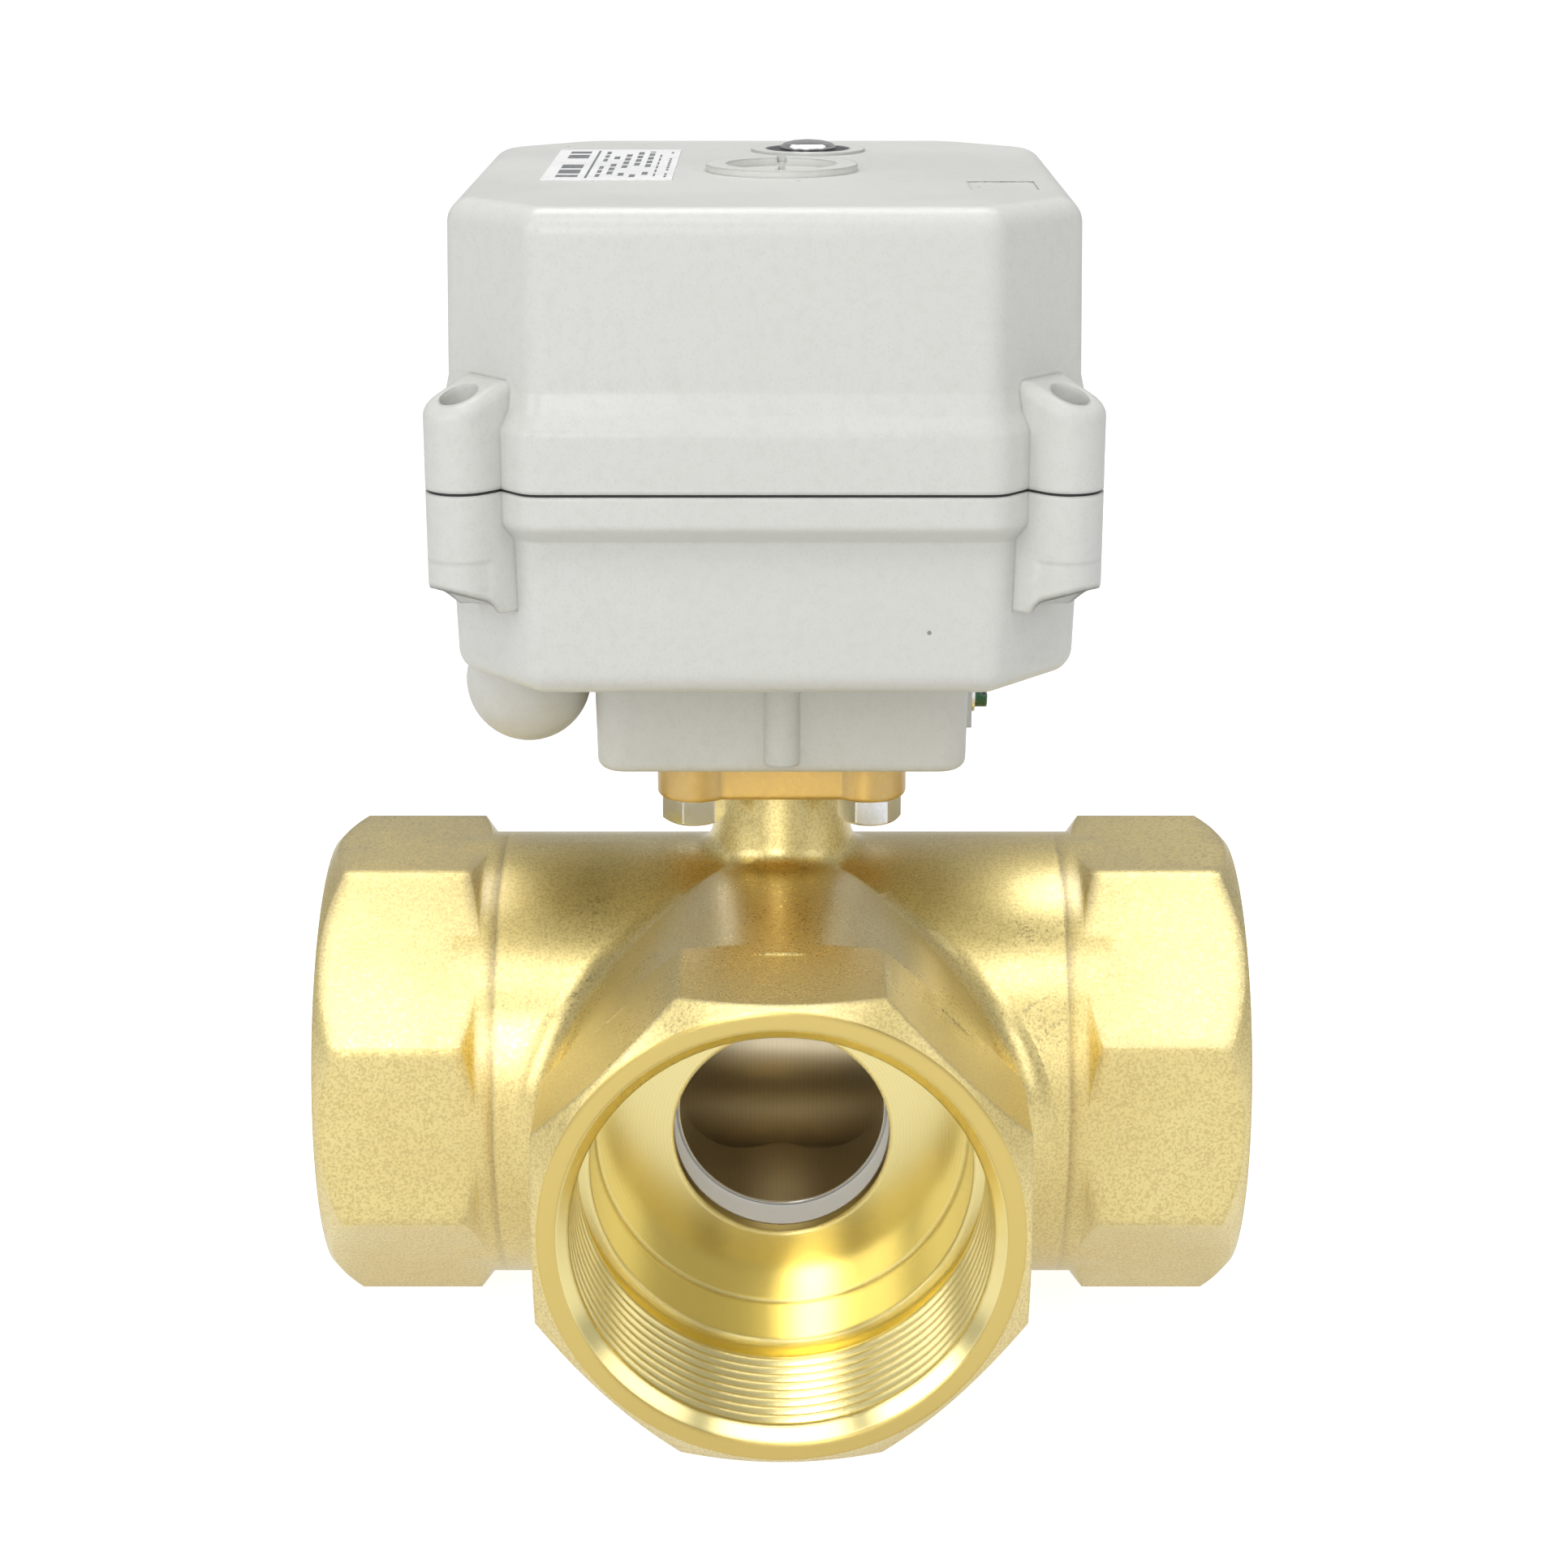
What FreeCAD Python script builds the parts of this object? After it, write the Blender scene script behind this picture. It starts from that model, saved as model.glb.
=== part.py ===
import FreeCAD, Part
import math
import os

# Three-way motorised ball valve: brass body with three female ports, ball and
# stem, and an electric gear actuator in a two-part die-cast housing.
# Millimetres.  +Z is up the stem axis, the front port faces -Y and the origin
# lies on the stem axis in the plane of the flats that the valve stands on.

# ---- Driving dimensions: valve body ----
THREAD_D = 59.614        # major diameter of the female pipe thread
THREAD_PITCH = 2.309
THREAD_DEPTH = 1.479
THREAD_GROOVES = 8
PORT_WALL = 3.5          # metal between the thread and the flats
ARM = 67.3               # stem axis to each port face
PORT_LEN = 23.5          # octagonal length of a port
BODY_WALL = 4.3          # body tube outside the ball chamber
BALL_GAP = 1.7           # ball to chamber wall
FLOW_R = 15.5            # hole in the floor of each port
SEAT_W = 3.8             # radial width of a seat ring
LIP_T = 2.8              # floor lip that backs a seat ring
SEAM_X = 41.3            # joint between body and end connector
NECK_R = 8.8
NECK_LEN = 11.7          # top of body tube to underside of flange
NECK_FLARE = 3.4         # how much wider the neck is at its root
NECK_ROOT = 7.5          # depth of the root under the top of the tube
NECK_FOOT_R = 3.0
FLANGE_HALF = 18.0
FLANGE_T = 5.8
FLANGE_INSET = 1.5       # straight sides inside the tips of the lobes
FLANGE_CORNER_R = 4.5
FLANGE_LOBE_R = 5.6
FLANGE_EDGE_R = 0.8
BOLT_HALF = 12.73        # half the bolt spacing, square pattern
BOLT_R = 2.5
BOLT_HEAD_AF = 8.0
BOLT_HEAD_H = 3.8
STEM_R = 6.0
STEM_SQUARE = 9.0

# ---- Driving dimensions: actuator ----
HOUSING_X = -2.2         # middle of the housing, measured from the stem
HOUSING_W = 84.0
HOUSING_D = 95.5
FRONT_CORNER = (12.1, 13.7)
REAR_CORNER = (13.5, 12.0)
CORNER_R = 4.0
REAR_CORNER_R = 9.0
WALL = 3.0
PAD_W = 53.2
PAD_D = 45.2
PAD_H = 17.8             # flange to underside of the housing floor
LOWER_H = 28.0           # underside of floor to parting plane
UPPER_H = 36.3           # parting plane to top
RIM = 2.0                # how far the rim stands proud
RIM_DROP = 4.5           # parting plane to the underside of the rim
RIM_RISE = 8.0           # parting plane to the shoulder over the rim
RIM_EDGE_R = 1.2
LUG_R = 4.7
LUG_ROOT = 16.0          # run of a lug inwards from its screw
LUG_DROP = (13.0, 16.5)  # parting plane to the underside, at the tip and root
LUG_RISE = (10.0, 14.0)  # parting plane to the top, at the tip and root
LUG_EDGE_R = 1.6
LUG_X = 39.5             # cover screws, measured from the housing middle
LUG_Y = 44.5
SCREW_R = 2.5
SEAM = 0.4               # gap between the two castings at the parting plane
GASKET_T = 0.3
EARTH_SHARE = -0.15      # earth screw along the pad, as a share of its depth
EARTH_UP = 8.6           # earth screw over the underside of the pad
EARTH_R = 2.9
CABLE_BOSS_R = 8.9
CABLE_BOSS_X = -34.0     # measured from the housing middle
SHAFT_R = 9.0
DIAL_R = 7.7

# ---- Driving dimensions: gear train ----
TEETH = {"output": 50, "pinion_3": 12, "wheel_3": 32, "pinion_2": 12,
         "wheel_2": 40, "motor": 12}
PRESSURE_ANGLE = math.radians(25.0)
ADDENDUM = 0.8
DEDENDUM = 1.1
BACKLASH = 0.12          # share of a module taken off each tooth
ANGLE_3 = 116.2          # direction of the third gear from the stem
ANGLE_2 = 1.6            # direction of the second gear from the third
ANGLE_M = -20.0          # direction of the motor pinion from the second

# ---- Clearances ----
RUN = 0.06               # radial running clearance
SLIP = 0.02              # between pieces that are pressed together
GAP = 0.3                # between curved faces that must not touch

# ---- Sizes that follow ----
THREAD_R = THREAD_D / 2
CREST_R = THREAD_R - THREAD_DEPTH
PORT_AF = THREAD_D + 2 * PORT_WALL
PORT_Z = PORT_AF / 2
BODY_R = PORT_AF / 2 + 0.2
CHAMBER_R = BODY_R - BODY_WALL
BALL_R = CHAMBER_R - BALL_GAP
SEAT_R = FLOW_R + SEAT_W
SEAT_BACK = BALL_R + 1.6
FLOOR_AT = SEAT_BACK + LIP_T
SMOOTH_R = CREST_R - 1.5
PORT_IN = ARM - PORT_LEN
SPIGOT_R = CHAMBER_R + 1.5
MOUTH_R = THREAD_R + 0.3
THREAD_FROM = MOUTH_R - CREST_R
FIRST_LAND = 0.8
HALF_GROOVE = THREAD_PITCH / 2 - 0.2
THREAD_TO = THREAD_FROM + FIRST_LAND + HALF_GROOVE + (THREAD_GROOVES - 0.5) * THREAD_PITCH + 0.5
BRIDGE_W = 1.0           # uncut strip along the thread crests
SPIGOT_END = SEAM_X - 8.1

STEM_TOP = PORT_Z + BODY_R
FLANGE_Z = STEM_TOP + NECK_LEN
PAD_Z = FLANGE_Z + FLANGE_T
FLOOR_Z = PAD_Z + PAD_H
INNER_FLOOR = FLOOR_Z + WALL + 0.2
PART_Z = FLOOR_Z + LOWER_H
TOP_Z = PART_Z + UPPER_H
CEILING = TOP_Z - WALL
BAY = (CEILING - INNER_FLOOR) / 58.1

TRAIN = min((HOUSING_D / 2 - WALL) / 44.75, (HOUSING_W / 2 - WALL) / 39.0)
MOD_1 = 1.0 * TRAIN
MOD_2 = 0.8 * TRAIN
MOD_3 = 0.6 * TRAIN
LEVER_SWING = 9.0

V = FreeCAD.Vector
X_AXIS = V(1, 0, 0)
Y_AXIS = V(0, 1, 0)
Z_AXIS = V(0, 0, 1)


# ---- Small helpers ----
def level(share):
    """Height inside the housing, counted from its inner floor."""
    return INNER_FLOOR + share * BAY


def cyl(r, z0, z1, x=0.0, y=0.0):
    return Part.makeCylinder(r, z1 - z0, V(x, y, z0))


def ring(outer, inner, z0, z1, x=0.0, y=0.0):
    return cyl(outer, z0, z1, x, y).cut(cyl(inner, z0 - 1, z1 + 1, x, y))


def box(x0, x1, y0, y1, z0, z1):
    return Part.makeBox(x1 - x0, y1 - y0, z1 - z0, V(x0, y0, z0))


def block(cx, cy, w, d, z0, z1):
    return box(cx - w / 2, cx + w / 2, cy - d / 2, cy + d / 2, z0, z1)


def joined(shapes):
    shapes = list(shapes)
    if len(shapes) == 1:
        return shapes[0]
    return shapes[0].multiFuse(shapes[1:]).removeSplitter()


def less(shape, tools):
    return shape.cut(Part.makeCompound(list(tools)))


def group(shapes):
    return Part.makeCompound(list(shapes))


def spun(points, base=V(0, 0, 0), axis=Z_AXIS):
    """Solid of revolution: points are (radius, distance along the axis)."""
    wire = Part.makePolygon([V(r, 0, s) for r, s in points + points[:1]])
    solid = Part.Face(wire).revolve(V(0, 0, 0), Z_AXIS, 360)
    solid.Placement = FreeCAD.Placement(base, FreeCAD.Rotation(Z_AXIS, axis))
    return solid


def polygon(points, z):
    return Part.makePolygon([V(x, y, z) for x, y in points + points[:1]])


def prism(points, z0, z1):
    return Part.Face(polygon(points, z0)).extrude(V(0, 0, z1 - z0))


def regular(sides, across_flats, turn=0.0, x=0.0, y=0.0):
    r = across_flats / 2 / math.cos(math.pi / sides)
    steps = [math.radians(turn) + 2 * math.pi * k / sides for k in range(sides)]
    return [(x + r * math.cos(a), y + r * math.sin(a)) for a in steps]


def turned(shape, degrees, x=0.0, y=0.0, axis=Z_AXIS):
    copy = shape.copy()
    copy.rotate(V(x, y, 0), axis, degrees)
    return copy


def toward(distance, degrees, start=(0.0, 0.0)):
    a = math.radians(degrees)
    return (start[0] + distance * math.cos(a), start[1] + distance * math.sin(a))


def grown(points, d):
    """Convex anticlockwise outline with every side moved out by d."""
    sides = []
    n = len(points)
    for k in range(n):
        (x0, y0), (x1, y1) = points[k], points[(k + 1) % n]
        length = math.hypot(x1 - x0, y1 - y0)
        nx, ny = (y1 - y0) / length, -(x1 - x0) / length
        sides.append((nx, ny, nx * x0 + ny * y0 + d))
    out = []
    for k in range(n):
        a, b, c = sides[k - 1]
        e, f, g = sides[k]
        det = a * f - b * e
        out.append(((c * f - b * g) / det, (a * g - c * e) / det))
    return out


def rounded(points, radius, z):
    """Closed wire through an anticlockwise outline with rounded corners."""
    n = len(points)
    arcs = []
    for k in range(n):
        r = radius[k] if isinstance(radius, tuple) else radius
        p, q, s = V(*points[k - 1], z), V(*points[k], z), V(*points[(k + 1) % n], z)
        back, ahead = (p - q).normalize(), (s - q).normalize()
        half = back.getAngle(ahead) / 2
        cut = r / math.tan(half)
        middle = q + (back + ahead).normalize() * (r / math.sin(half) - r)
        arcs.append((q + back * cut, middle, q + ahead * cut))
    edges = []
    for k, (start, middle, end) in enumerate(arcs):
        edges.append(Part.Arc(start, middle, end).toShape())
        edges.append(Part.makeLine(end, arcs[(k + 1) % n][0]))
    return Part.Wire(edges)


def column(outlines, r):
    """Stack of lofts through (points, height) outlines with rounded corners."""
    layers = []
    for (lower, z0), (upper, z1) in zip(outlines, outlines[1:]):
        ends = [rounded(lower, r, z0), rounded(upper, r, z1)]
        layers.append(Part.makeLoft(ends, True, True))
    return joined(layers)


def softened(shape, radius, wanted):
    return shape.makeFillet(radius, [e for e in shape.Edges if wanted(e)])


# ---- Port geometry, drawn along an axis that runs into the valve ----
def port_outside(inner_r, inner_at):
    """Octagon with turned ends, then a plain tube; distances from the face."""
    octagon = prism(regular(8, PORT_AF, 22.5), 0, PORT_LEN)
    corner_r = PORT_AF / 2 / math.cos(math.pi / 8) + 0.1
    envelope = [(0, 0), (PORT_AF / 2 - 0.8, 0), (corner_r, corner_r - PORT_AF / 2 + 0.8),
                (corner_r, PORT_LEN - 2.0), (BODY_R, PORT_LEN), (0, PORT_LEN)]
    tube = cyl(inner_r, PORT_LEN - 4, inner_at)
    return octagon.common(spun(envelope)).fuse(tube)


def port_inside(end_at):
    """Chamfer, thread of ring grooves, run-out, smooth bore and floor hole."""
    points = [(0, -1), (MOUTH_R, -1), (MOUTH_R, 0), (CREST_R, THREAD_FROM)]
    for k in range(THREAD_GROOVES):
        at = THREAD_FROM + FIRST_LAND + HALF_GROOVE + k * THREAD_PITCH
        points += [(CREST_R, at - HALF_GROOVE), (THREAD_R, at), (CREST_R, at + HALF_GROOVE)]
    points += [(CREST_R, THREAD_TO), (THREAD_R + 0.1, THREAD_TO + 0.5),
               (THREAD_R + 0.1, THREAD_TO + 2.0), (SMOOTH_R, THREAD_TO + 2.4),
               (SMOOTH_R, ARM - FLOOR_AT), (FLOW_R, ARM - FLOOR_AT),
               (FLOW_R, end_at), (0, end_at)]
    return spun(points)


def crest_bridge():
    """Narrow uncut strip that joins the crests into one wall, as a helix would."""
    wall = ring(THREAD_R + 0.3, CREST_R, THREAD_FROM, THREAD_TO)
    return wall.common(box(-BRIDGE_W / 2, BRIDGE_W / 2, 0, PORT_AF, THREAD_FROM, THREAD_TO))


def aimed(shape, side):
    """Turn a port drawn along +Z so that its face looks to the named side."""
    turns = {"left": (Y_AXIS, 90), "right": (Y_AXIS, -90), "front": (X_AXIS, -90)}
    start = {"left": V(-ARM, 0, PORT_Z), "right": V(ARM, 0, PORT_Z),
             "front": V(0, -ARM, PORT_Z)}
    copy = shape.copy()
    copy.rotate(V(0, 0, 0), *turns[side])
    copy.translate(start[side])
    return copy


# ---- Valve body ----
def tube_along(axis, r, start, end):
    base = V(axis.x * start, axis.y * start, PORT_Z)
    return Part.makeCylinder(r, end - start, base, axis)


def neck_blend(tube):
    """Tapered neck on a tube, with its foot rounded into the tube."""
    foot = NECK_R + NECK_FLARE
    neck = Part.makeCone(foot, NECK_R, NECK_LEN + NECK_ROOT, V(0, 0, STEM_TOP - NECK_ROOT))
    return softened(tube.fuse(neck), NECK_FOOT_R, lambda e: is_foot(e, foot))


def is_foot(edge, reach):
    b = edge.BoundBox
    low = b.ZMin > STEM_TOP - NECK_ROOT + 0.5 and b.ZMax < STEM_TOP + 1.0
    return low and b.XLength < 2 * reach and b.YLength < 2 * reach and b.ZLength > 0.1


def flange():
    sides = regular(4, 2 * (FLANGE_HALF - FLANGE_INSET), 45)
    plate = Part.Face(rounded(sides, FLANGE_CORNER_R, FLANGE_Z)).extrude(V(0, 0, FLANGE_T))
    lobe_at = FLANGE_HALF - FLANGE_LOBE_R
    lobes = [cyl(FLANGE_LOBE_R, FLANGE_Z, PAD_Z, x, y) for x, y in four(lobe_at, lobe_at)]
    return softened(joined([plate] + lobes), FLANGE_EDGE_R, level_edge(FLANGE_Z))


def four(x, y):
    return [(sx * x, sy * y) for sx in (-1, 1) for sy in (-1, 1)]


def valve_body():
    run = neck_blend(tube_along(X_AXIS, BODY_R, -SEAM_X, SEAM_X))
    branch = neck_blend(tube_along(Y_AXIS, BODY_R, -PORT_IN, BODY_R))
    branch = branch.common(box(-100, 100, -ARM, 0, -10, FLANGE_Z + 1))
    rear = tube_along(Y_AXIS, SEAT_R + 6.7, 0, BODY_R + 1.0)
    front = aimed(port_outside(BODY_R, ARM - 5), "front")
    body = joined([run, branch, rear, front, flange()])
    flat = box(-200, 200, -200, 200, -20, 0)
    chamber = tube_along(X_AXIS, CHAMBER_R, -SEAM_X - 1, SEAM_X + 1)
    spigots = [tube_along(X_AXIS, SPIGOT_R + 0.1, s, s + 20) for s in (-SPIGOT_END - 20, SPIGOT_END)]
    pocket = tube_along(Y_AXIS, SEAT_R + 0.05, -SEAT_BACK, SEAT_BACK)
    stem_bore = cyl(STEM_R + RUN, PORT_Z, PAD_Z + 1)
    collar_bore = cyl(STEM_R + 1.6, PORT_Z, STEM_TOP - 2.4)
    bolts = [cyl(BOLT_R + 0.3, FLANGE_Z - 1, PAD_Z + 1, x, y) for x, y in four(BOLT_HALF, BOLT_HALF)]
    inside = aimed(port_inside(ARM - FLOW_R), "front")
    return less(body, [flat, chamber, pocket, stem_bore, collar_bore, inside] + spigots + bolts)


def end_connector(side):
    outside = port_outside(BODY_R, ARM - SEAM_X)
    spigot = cyl(SPIGOT_R, PORT_LEN, ARM - SPIGOT_END - 1.5)
    nose = cyl(CHAMBER_R - 0.1, PORT_LEN, ARM - SEAT_BACK + 6.6)
    solid = joined([outside, spigot, nose])
    seat = cyl(SEAT_R + 0.05, ARM - SEAT_BACK, ARM)
    solid = less(solid, [port_inside(ARM - SEAT_BACK + 1), seat])
    solid = joined([solid, crest_bridge()])
    ground = box(-200, 200, -200, 200, -20, 0)
    return aimed(solid, side).cut(ground)


def connector_seal(side):
    return aimed(ring(SPIGOT_R, CHAMBER_R, ARM - SPIGOT_END - 1.45, ARM - SPIGOT_END - 0.05), side)


def seat(axis, sign):
    """Ring with a spherical face towards the ball."""
    blank = tube_along(axis, SEAT_R, BALL_R / 2, SEAT_BACK)
    blank = blank.cut(tube_along(axis, FLOW_R, 0, ARM))
    blank = blank.cut(Part.makeSphere(BALL_R + 0.08, V(0, 0, PORT_Z)))
    return blank if sign > 0 else turned(blank, 180)


# ---- Ball and stem ----
SLOT_FLOOR = PORT_Z + BALL_R - 5.2
BALL_BORE = FLOW_R - 0.5
BRANCH_BORE = BALL_BORE - 0.05


def ball():
    centre = V(0, 0, PORT_Z)
    solid = Part.makeSphere(BALL_R, centre)
    across = tube_along(X_AXIS, BALL_BORE, -ARM, ARM)
    forward = tube_along(Y_AXIS, BRANCH_BORE, -ARM, 0)
    slot = block(0, 0, 8.1, 2 * BALL_R, SLOT_FLOOR, STEM_TOP)
    return less(solid, [across, forward, slot])


def ring_grooves():
    return [STEM_TOP + share * NECK_LEN for share in (0.25, 0.62)]


def stem():
    tongue = block(0, 0, 8.0, 14.0, SLOT_FLOOR + 0.1, STEM_TOP - 5.0)
    collar = cyl(STEM_R + 1.5, STEM_TOP - 5.4, STEM_TOP - 3.4)
    shank = cyl(STEM_R, STEM_TOP - 3.4, PAD_Z)
    square = block(0, 0, STEM_SQUARE, STEM_SQUARE, PAD_Z, PAD_Z + 9.5)
    square = square.common(cyl(STEM_R, PAD_Z, PAD_Z + 9.5))
    tongue = tongue.common(cyl(STEM_R + 1.4, SLOT_FLOOR, STEM_TOP))
    grooves = [ring(STEM_R + 1, STEM_R - 1.85, z - 1.15, z + 1.15) for z in ring_grooves()]
    return less(joined([tongue, collar, shank, square]), grooves)


def stem_thrust_washer():
    return ring(STEM_R + 1.5, STEM_R + 0.1, STEM_TOP - 3.3, STEM_TOP - 2.45)


def stem_o_rings():
    return group(Part.makeTorus(STEM_R - 0.92, 0.9, V(0, 0, z)) for z in ring_grooves())


def flange_bolts():
    bolts = []
    for k, (x, y) in enumerate(four(BOLT_HALF, BOLT_HALF)):
        head = prism(regular(6, BOLT_HEAD_AF, 11 + 26 * k, x, y), FLANGE_Z - BOLT_HEAD_H, FLANGE_Z)
        dome = spun([(0, 0), (BOLT_HEAD_AF / 2 - 0.3, 0), (BOLT_HEAD_AF / 2 + 0.8, 0.6),
                     (BOLT_HEAD_AF / 2 + 0.8, BOLT_HEAD_H), (0, BOLT_HEAD_H)],
                    V(x, y, FLANGE_Z - BOLT_HEAD_H))
        shank = cyl(BOLT_R - 0.05, FLANGE_Z, PAD_Z + 9.5, x, y)
        bolts.append(head.common(dome).fuse(shank))
    return group(bolts)


# ---- Housing ----
def plan(grow=0.0, widen=0.0):
    """Outline of the housing, eight corners, chamfered at the front and rear."""
    w, d = HOUSING_W / 2 + widen, HOUSING_D / 2
    fx, fy = FRONT_CORNER
    rx, ry = REAR_CORNER
    points = [(-w + fx, -d), (w - fx, -d), (w, -d + fy), (w, d - ry),
              (w - rx, d), (-w + rx, d), (-w, d - ry), (-w, -d + fy)]
    return grown([(HOUSING_X + x, y) for x, y in points], grow)


def lug_places():
    return [(HOUSING_X + x, y) for x, y in four(LUG_X, LUG_Y)]


def lug_angle(x, y):
    return math.degrees(math.atan2(y * 0.9, x - HOUSING_X))


def lug_post(x, y, r, z0, z1):
    """Round nose about the screw, with straight sides running inwards."""
    shank = box(x - LUG_ROOT, x, y - r, y + r, z0, z1)
    return turned(cyl(r, z0, z1, x, y).fuse(shank), lug_angle(x, y), x, y)


def lug(x, y):
    """Corner lug whose top and underside slope towards its tip."""
    tall = lug_post(x, y, LUG_R, FLOOR_Z, TOP_Z)
    tip_low, root_low = (PART_Z - drop for drop in LUG_DROP)
    tip_high, root_high = (PART_Z + rise for rise in LUG_RISE)
    side = [(-LUG_ROOT, root_low), (-2, root_low), (LUG_R, tip_low), (LUG_R + 1, tip_low + 1),
            (LUG_R + 1, tip_high), (-4, root_high), (-LUG_ROOT, root_high)]
    slice_face = Part.Face(Part.makePolygon([V(d, -10, z) for d, z in side + side[:1]]))
    profile = slice_face.extrude(V(0, 20, 0))
    profile.rotate(V(0, 0, 0), Z_AXIS, lug_angle(x, y))
    profile.translate(V(x, y, 0))
    shape = tall.common(profile)
    inner = toward(LUG_ROOT - 0.1, lug_angle(x, y) + 180.0, (x, y))
    return softened(shape, LUG_EDGE_R, lambda e: rims_lug(e, V(*inner, PART_Z)))


def rims_lug(edge, inner):
    """True for the edges round the top and underside, away from the inner end."""
    b = edge.BoundBox
    flat_middle = b.ZMin > PART_Z - LUG_DROP[0] + 1.0 and b.ZMax < PART_Z + LUG_RISE[0]
    upright = b.ZLength > 15.0
    nearest = min(v.Point.distanceToLine(inner, Z_AXIS) for v in edge.Vertexes)
    return not (flat_middle or upright) and nearest > LUG_R + 0.3


def shell_outside():
    low = PART_Z - RIM_DROP
    shoulder = PART_Z + RIM_RISE
    outlines = [(plan(-1.9, 1.6), FLOOR_Z), (plan(-1.2, 1.6), low - 2.2), (plan(RIM), low),
                (plan(RIM), shoulder), (plan(RIM * 0.3), shoulder + 2.2),
                (plan(0), shoulder + 5.0), (plan(-0.5), TOP_Z)]
    solid = column(outlines, housing_radii(0.0))
    solid = softened(solid, RIM_EDGE_R, level_edge(low))
    return softened(solid, RIM_EDGE_R, level_edge(shoulder))


def housing_radii(less_by):
    """Corner radii in the order of plan(): front pair, rear four, front pair."""
    front, rear = CORNER_R - less_by, REAR_CORNER_R - less_by
    return (front, front, front, rear, rear, rear, rear, front)


def shell_inside():
    outlines = [(plan(-RIM - WALL), INNER_FLOOR), (plan(-WALL), PART_Z),
                (plan(-WALL - 0.8), CEILING)]
    return column(outlines, housing_radii(1.0))


def level_edge(z):
    return lambda e: abs(e.BoundBox.ZMin - z) < 0.01 and e.BoundBox.ZLength < 0.01


def pad_outside():
    half_w, half_d = PAD_W / 2, PAD_D / 2
    corners = [(-half_w, -half_d), (half_w, -half_d), (half_w, half_d), (-half_w, half_d)]
    solid = column([(grown(corners, -0.4), PAD_Z), (corners, INNER_FLOOR - 1)], CORNER_R)
    solid = softened(solid, 1.5, level_edge(PAD_Z))
    rib = cyl(2.5, PAD_Z + 1.6, FLOOR_Z + 0.5, 0, -half_d + 0.6)
    boss = block(half_w + 0.1, PAD_D * EARTH_SHARE, 1.4, 11.0, PAD_Z + 4.0, FLOOR_Z)
    return joined([solid, rib, boss])


EARTH = V(PAD_W / 2 + 0.8, PAD_D * EARTH_SHARE, PAD_Z + EARTH_UP)
CABLE_X = HOUSING_X + CABLE_BOSS_X
CABLE_Z = FLOOR_Z - 6.0
CABLE_END = HOUSING_D / 2 - REAR_CORNER[1] * 0.5
CABLE_BORE = 6.0
GLAND_AF = 14.5


def cable_boss():
    front = -PAD_D / 2 + CABLE_BOSS_R
    length = CABLE_END - front
    barrel = Part.makeCylinder(CABLE_BOSS_R, length, V(CABLE_X, front, CABLE_Z), Y_AXIS)
    nose = Part.makeSphere(CABLE_BOSS_R, V(CABLE_X, front, CABLE_Z))
    web = box(CABLE_X - CABLE_BOSS_R + 1, CABLE_X + CABLE_BOSS_R, front, CABLE_END,
              CABLE_Z, FLOOR_Z + WALL)
    return joined([barrel, nose, web])


def cable_way():
    front = -PAD_D / 2 + CABLE_BOSS_R
    way = Part.makeCylinder(CABLE_BORE, CABLE_END - front + 1, V(CABLE_X, front, CABLE_Z), Y_AXIS)
    rise = box(CABLE_X - 2.5, CABLE_X + CABLE_BORE, front, CABLE_END - 14, CABLE_Z, INNER_FLOOR + 4)
    return way.fuse(rise)


def split(shape, upper):
    z0, z1 = (PART_Z + SEAM / 2, TOP_Z + 9) if upper else (-1, PART_Z - SEAM / 2)
    return shape.common(box(-200, 200, -200, 200, z0, z1))


def pillar_places():
    places = [(-27, -18), (27, -18), (-31, 30), (18, 38)]
    return [(x * TRAIN, y * TRAIN) for x, y in places]


def lower_housing():
    outside = softened(shell_outside(), 3.5, level_edge(FLOOR_Z))
    lugs = [lug(x, y) for x, y in lug_places()]
    shell = joined([outside] + lugs)
    shell = less(shell, [shell_inside()])
    shell = split(shell, False)
    bosses = [cyl(4.0, FLOOR_Z + 1, level(2.0), x, y) for x, y in pillar_places()]
    bush_boss = cyl(SHAFT_R + 5.5, FLOOR_Z + 1, level(1.0))
    shell = joined([shell, pad_outside(), cable_boss(), bush_boss] + bosses)
    holes = [cyl(SCREW_R + 0.2, FLOOR_Z - 5, PART_Z + 1, x, y) for x, y in lug_places()]
    heads = [cyl(SCREW_R * 1.8, FLOOR_Z - 5, PART_Z - 9.0, x, y) for x, y in lug_places()]
    threads = [cyl(BOLT_R, PAD_Z - 1, PAD_Z + 11, x, y) for x, y in four(BOLT_HALF, BOLT_HALF)]
    pins = [cyl(1.5, FLOOR_Z + 2, level(3.0), x, y) for x, y in pillar_places()]
    bush = cyl(SHAFT_R + 2.0, PAD_Z - 1, level(2.0))
    earth = Part.makeCylinder(1.5, 8, EARTH - X_AXIS * 6.8, X_AXIS)
    gland_room = hex_along_y(GLAND_AF + 0.6, CABLE_END, CABLE_END + 12.0)
    tools = holes + heads + threads + pins + [bush, earth, cable_way(), gland_room]
    return less(shell, tools)


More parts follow.
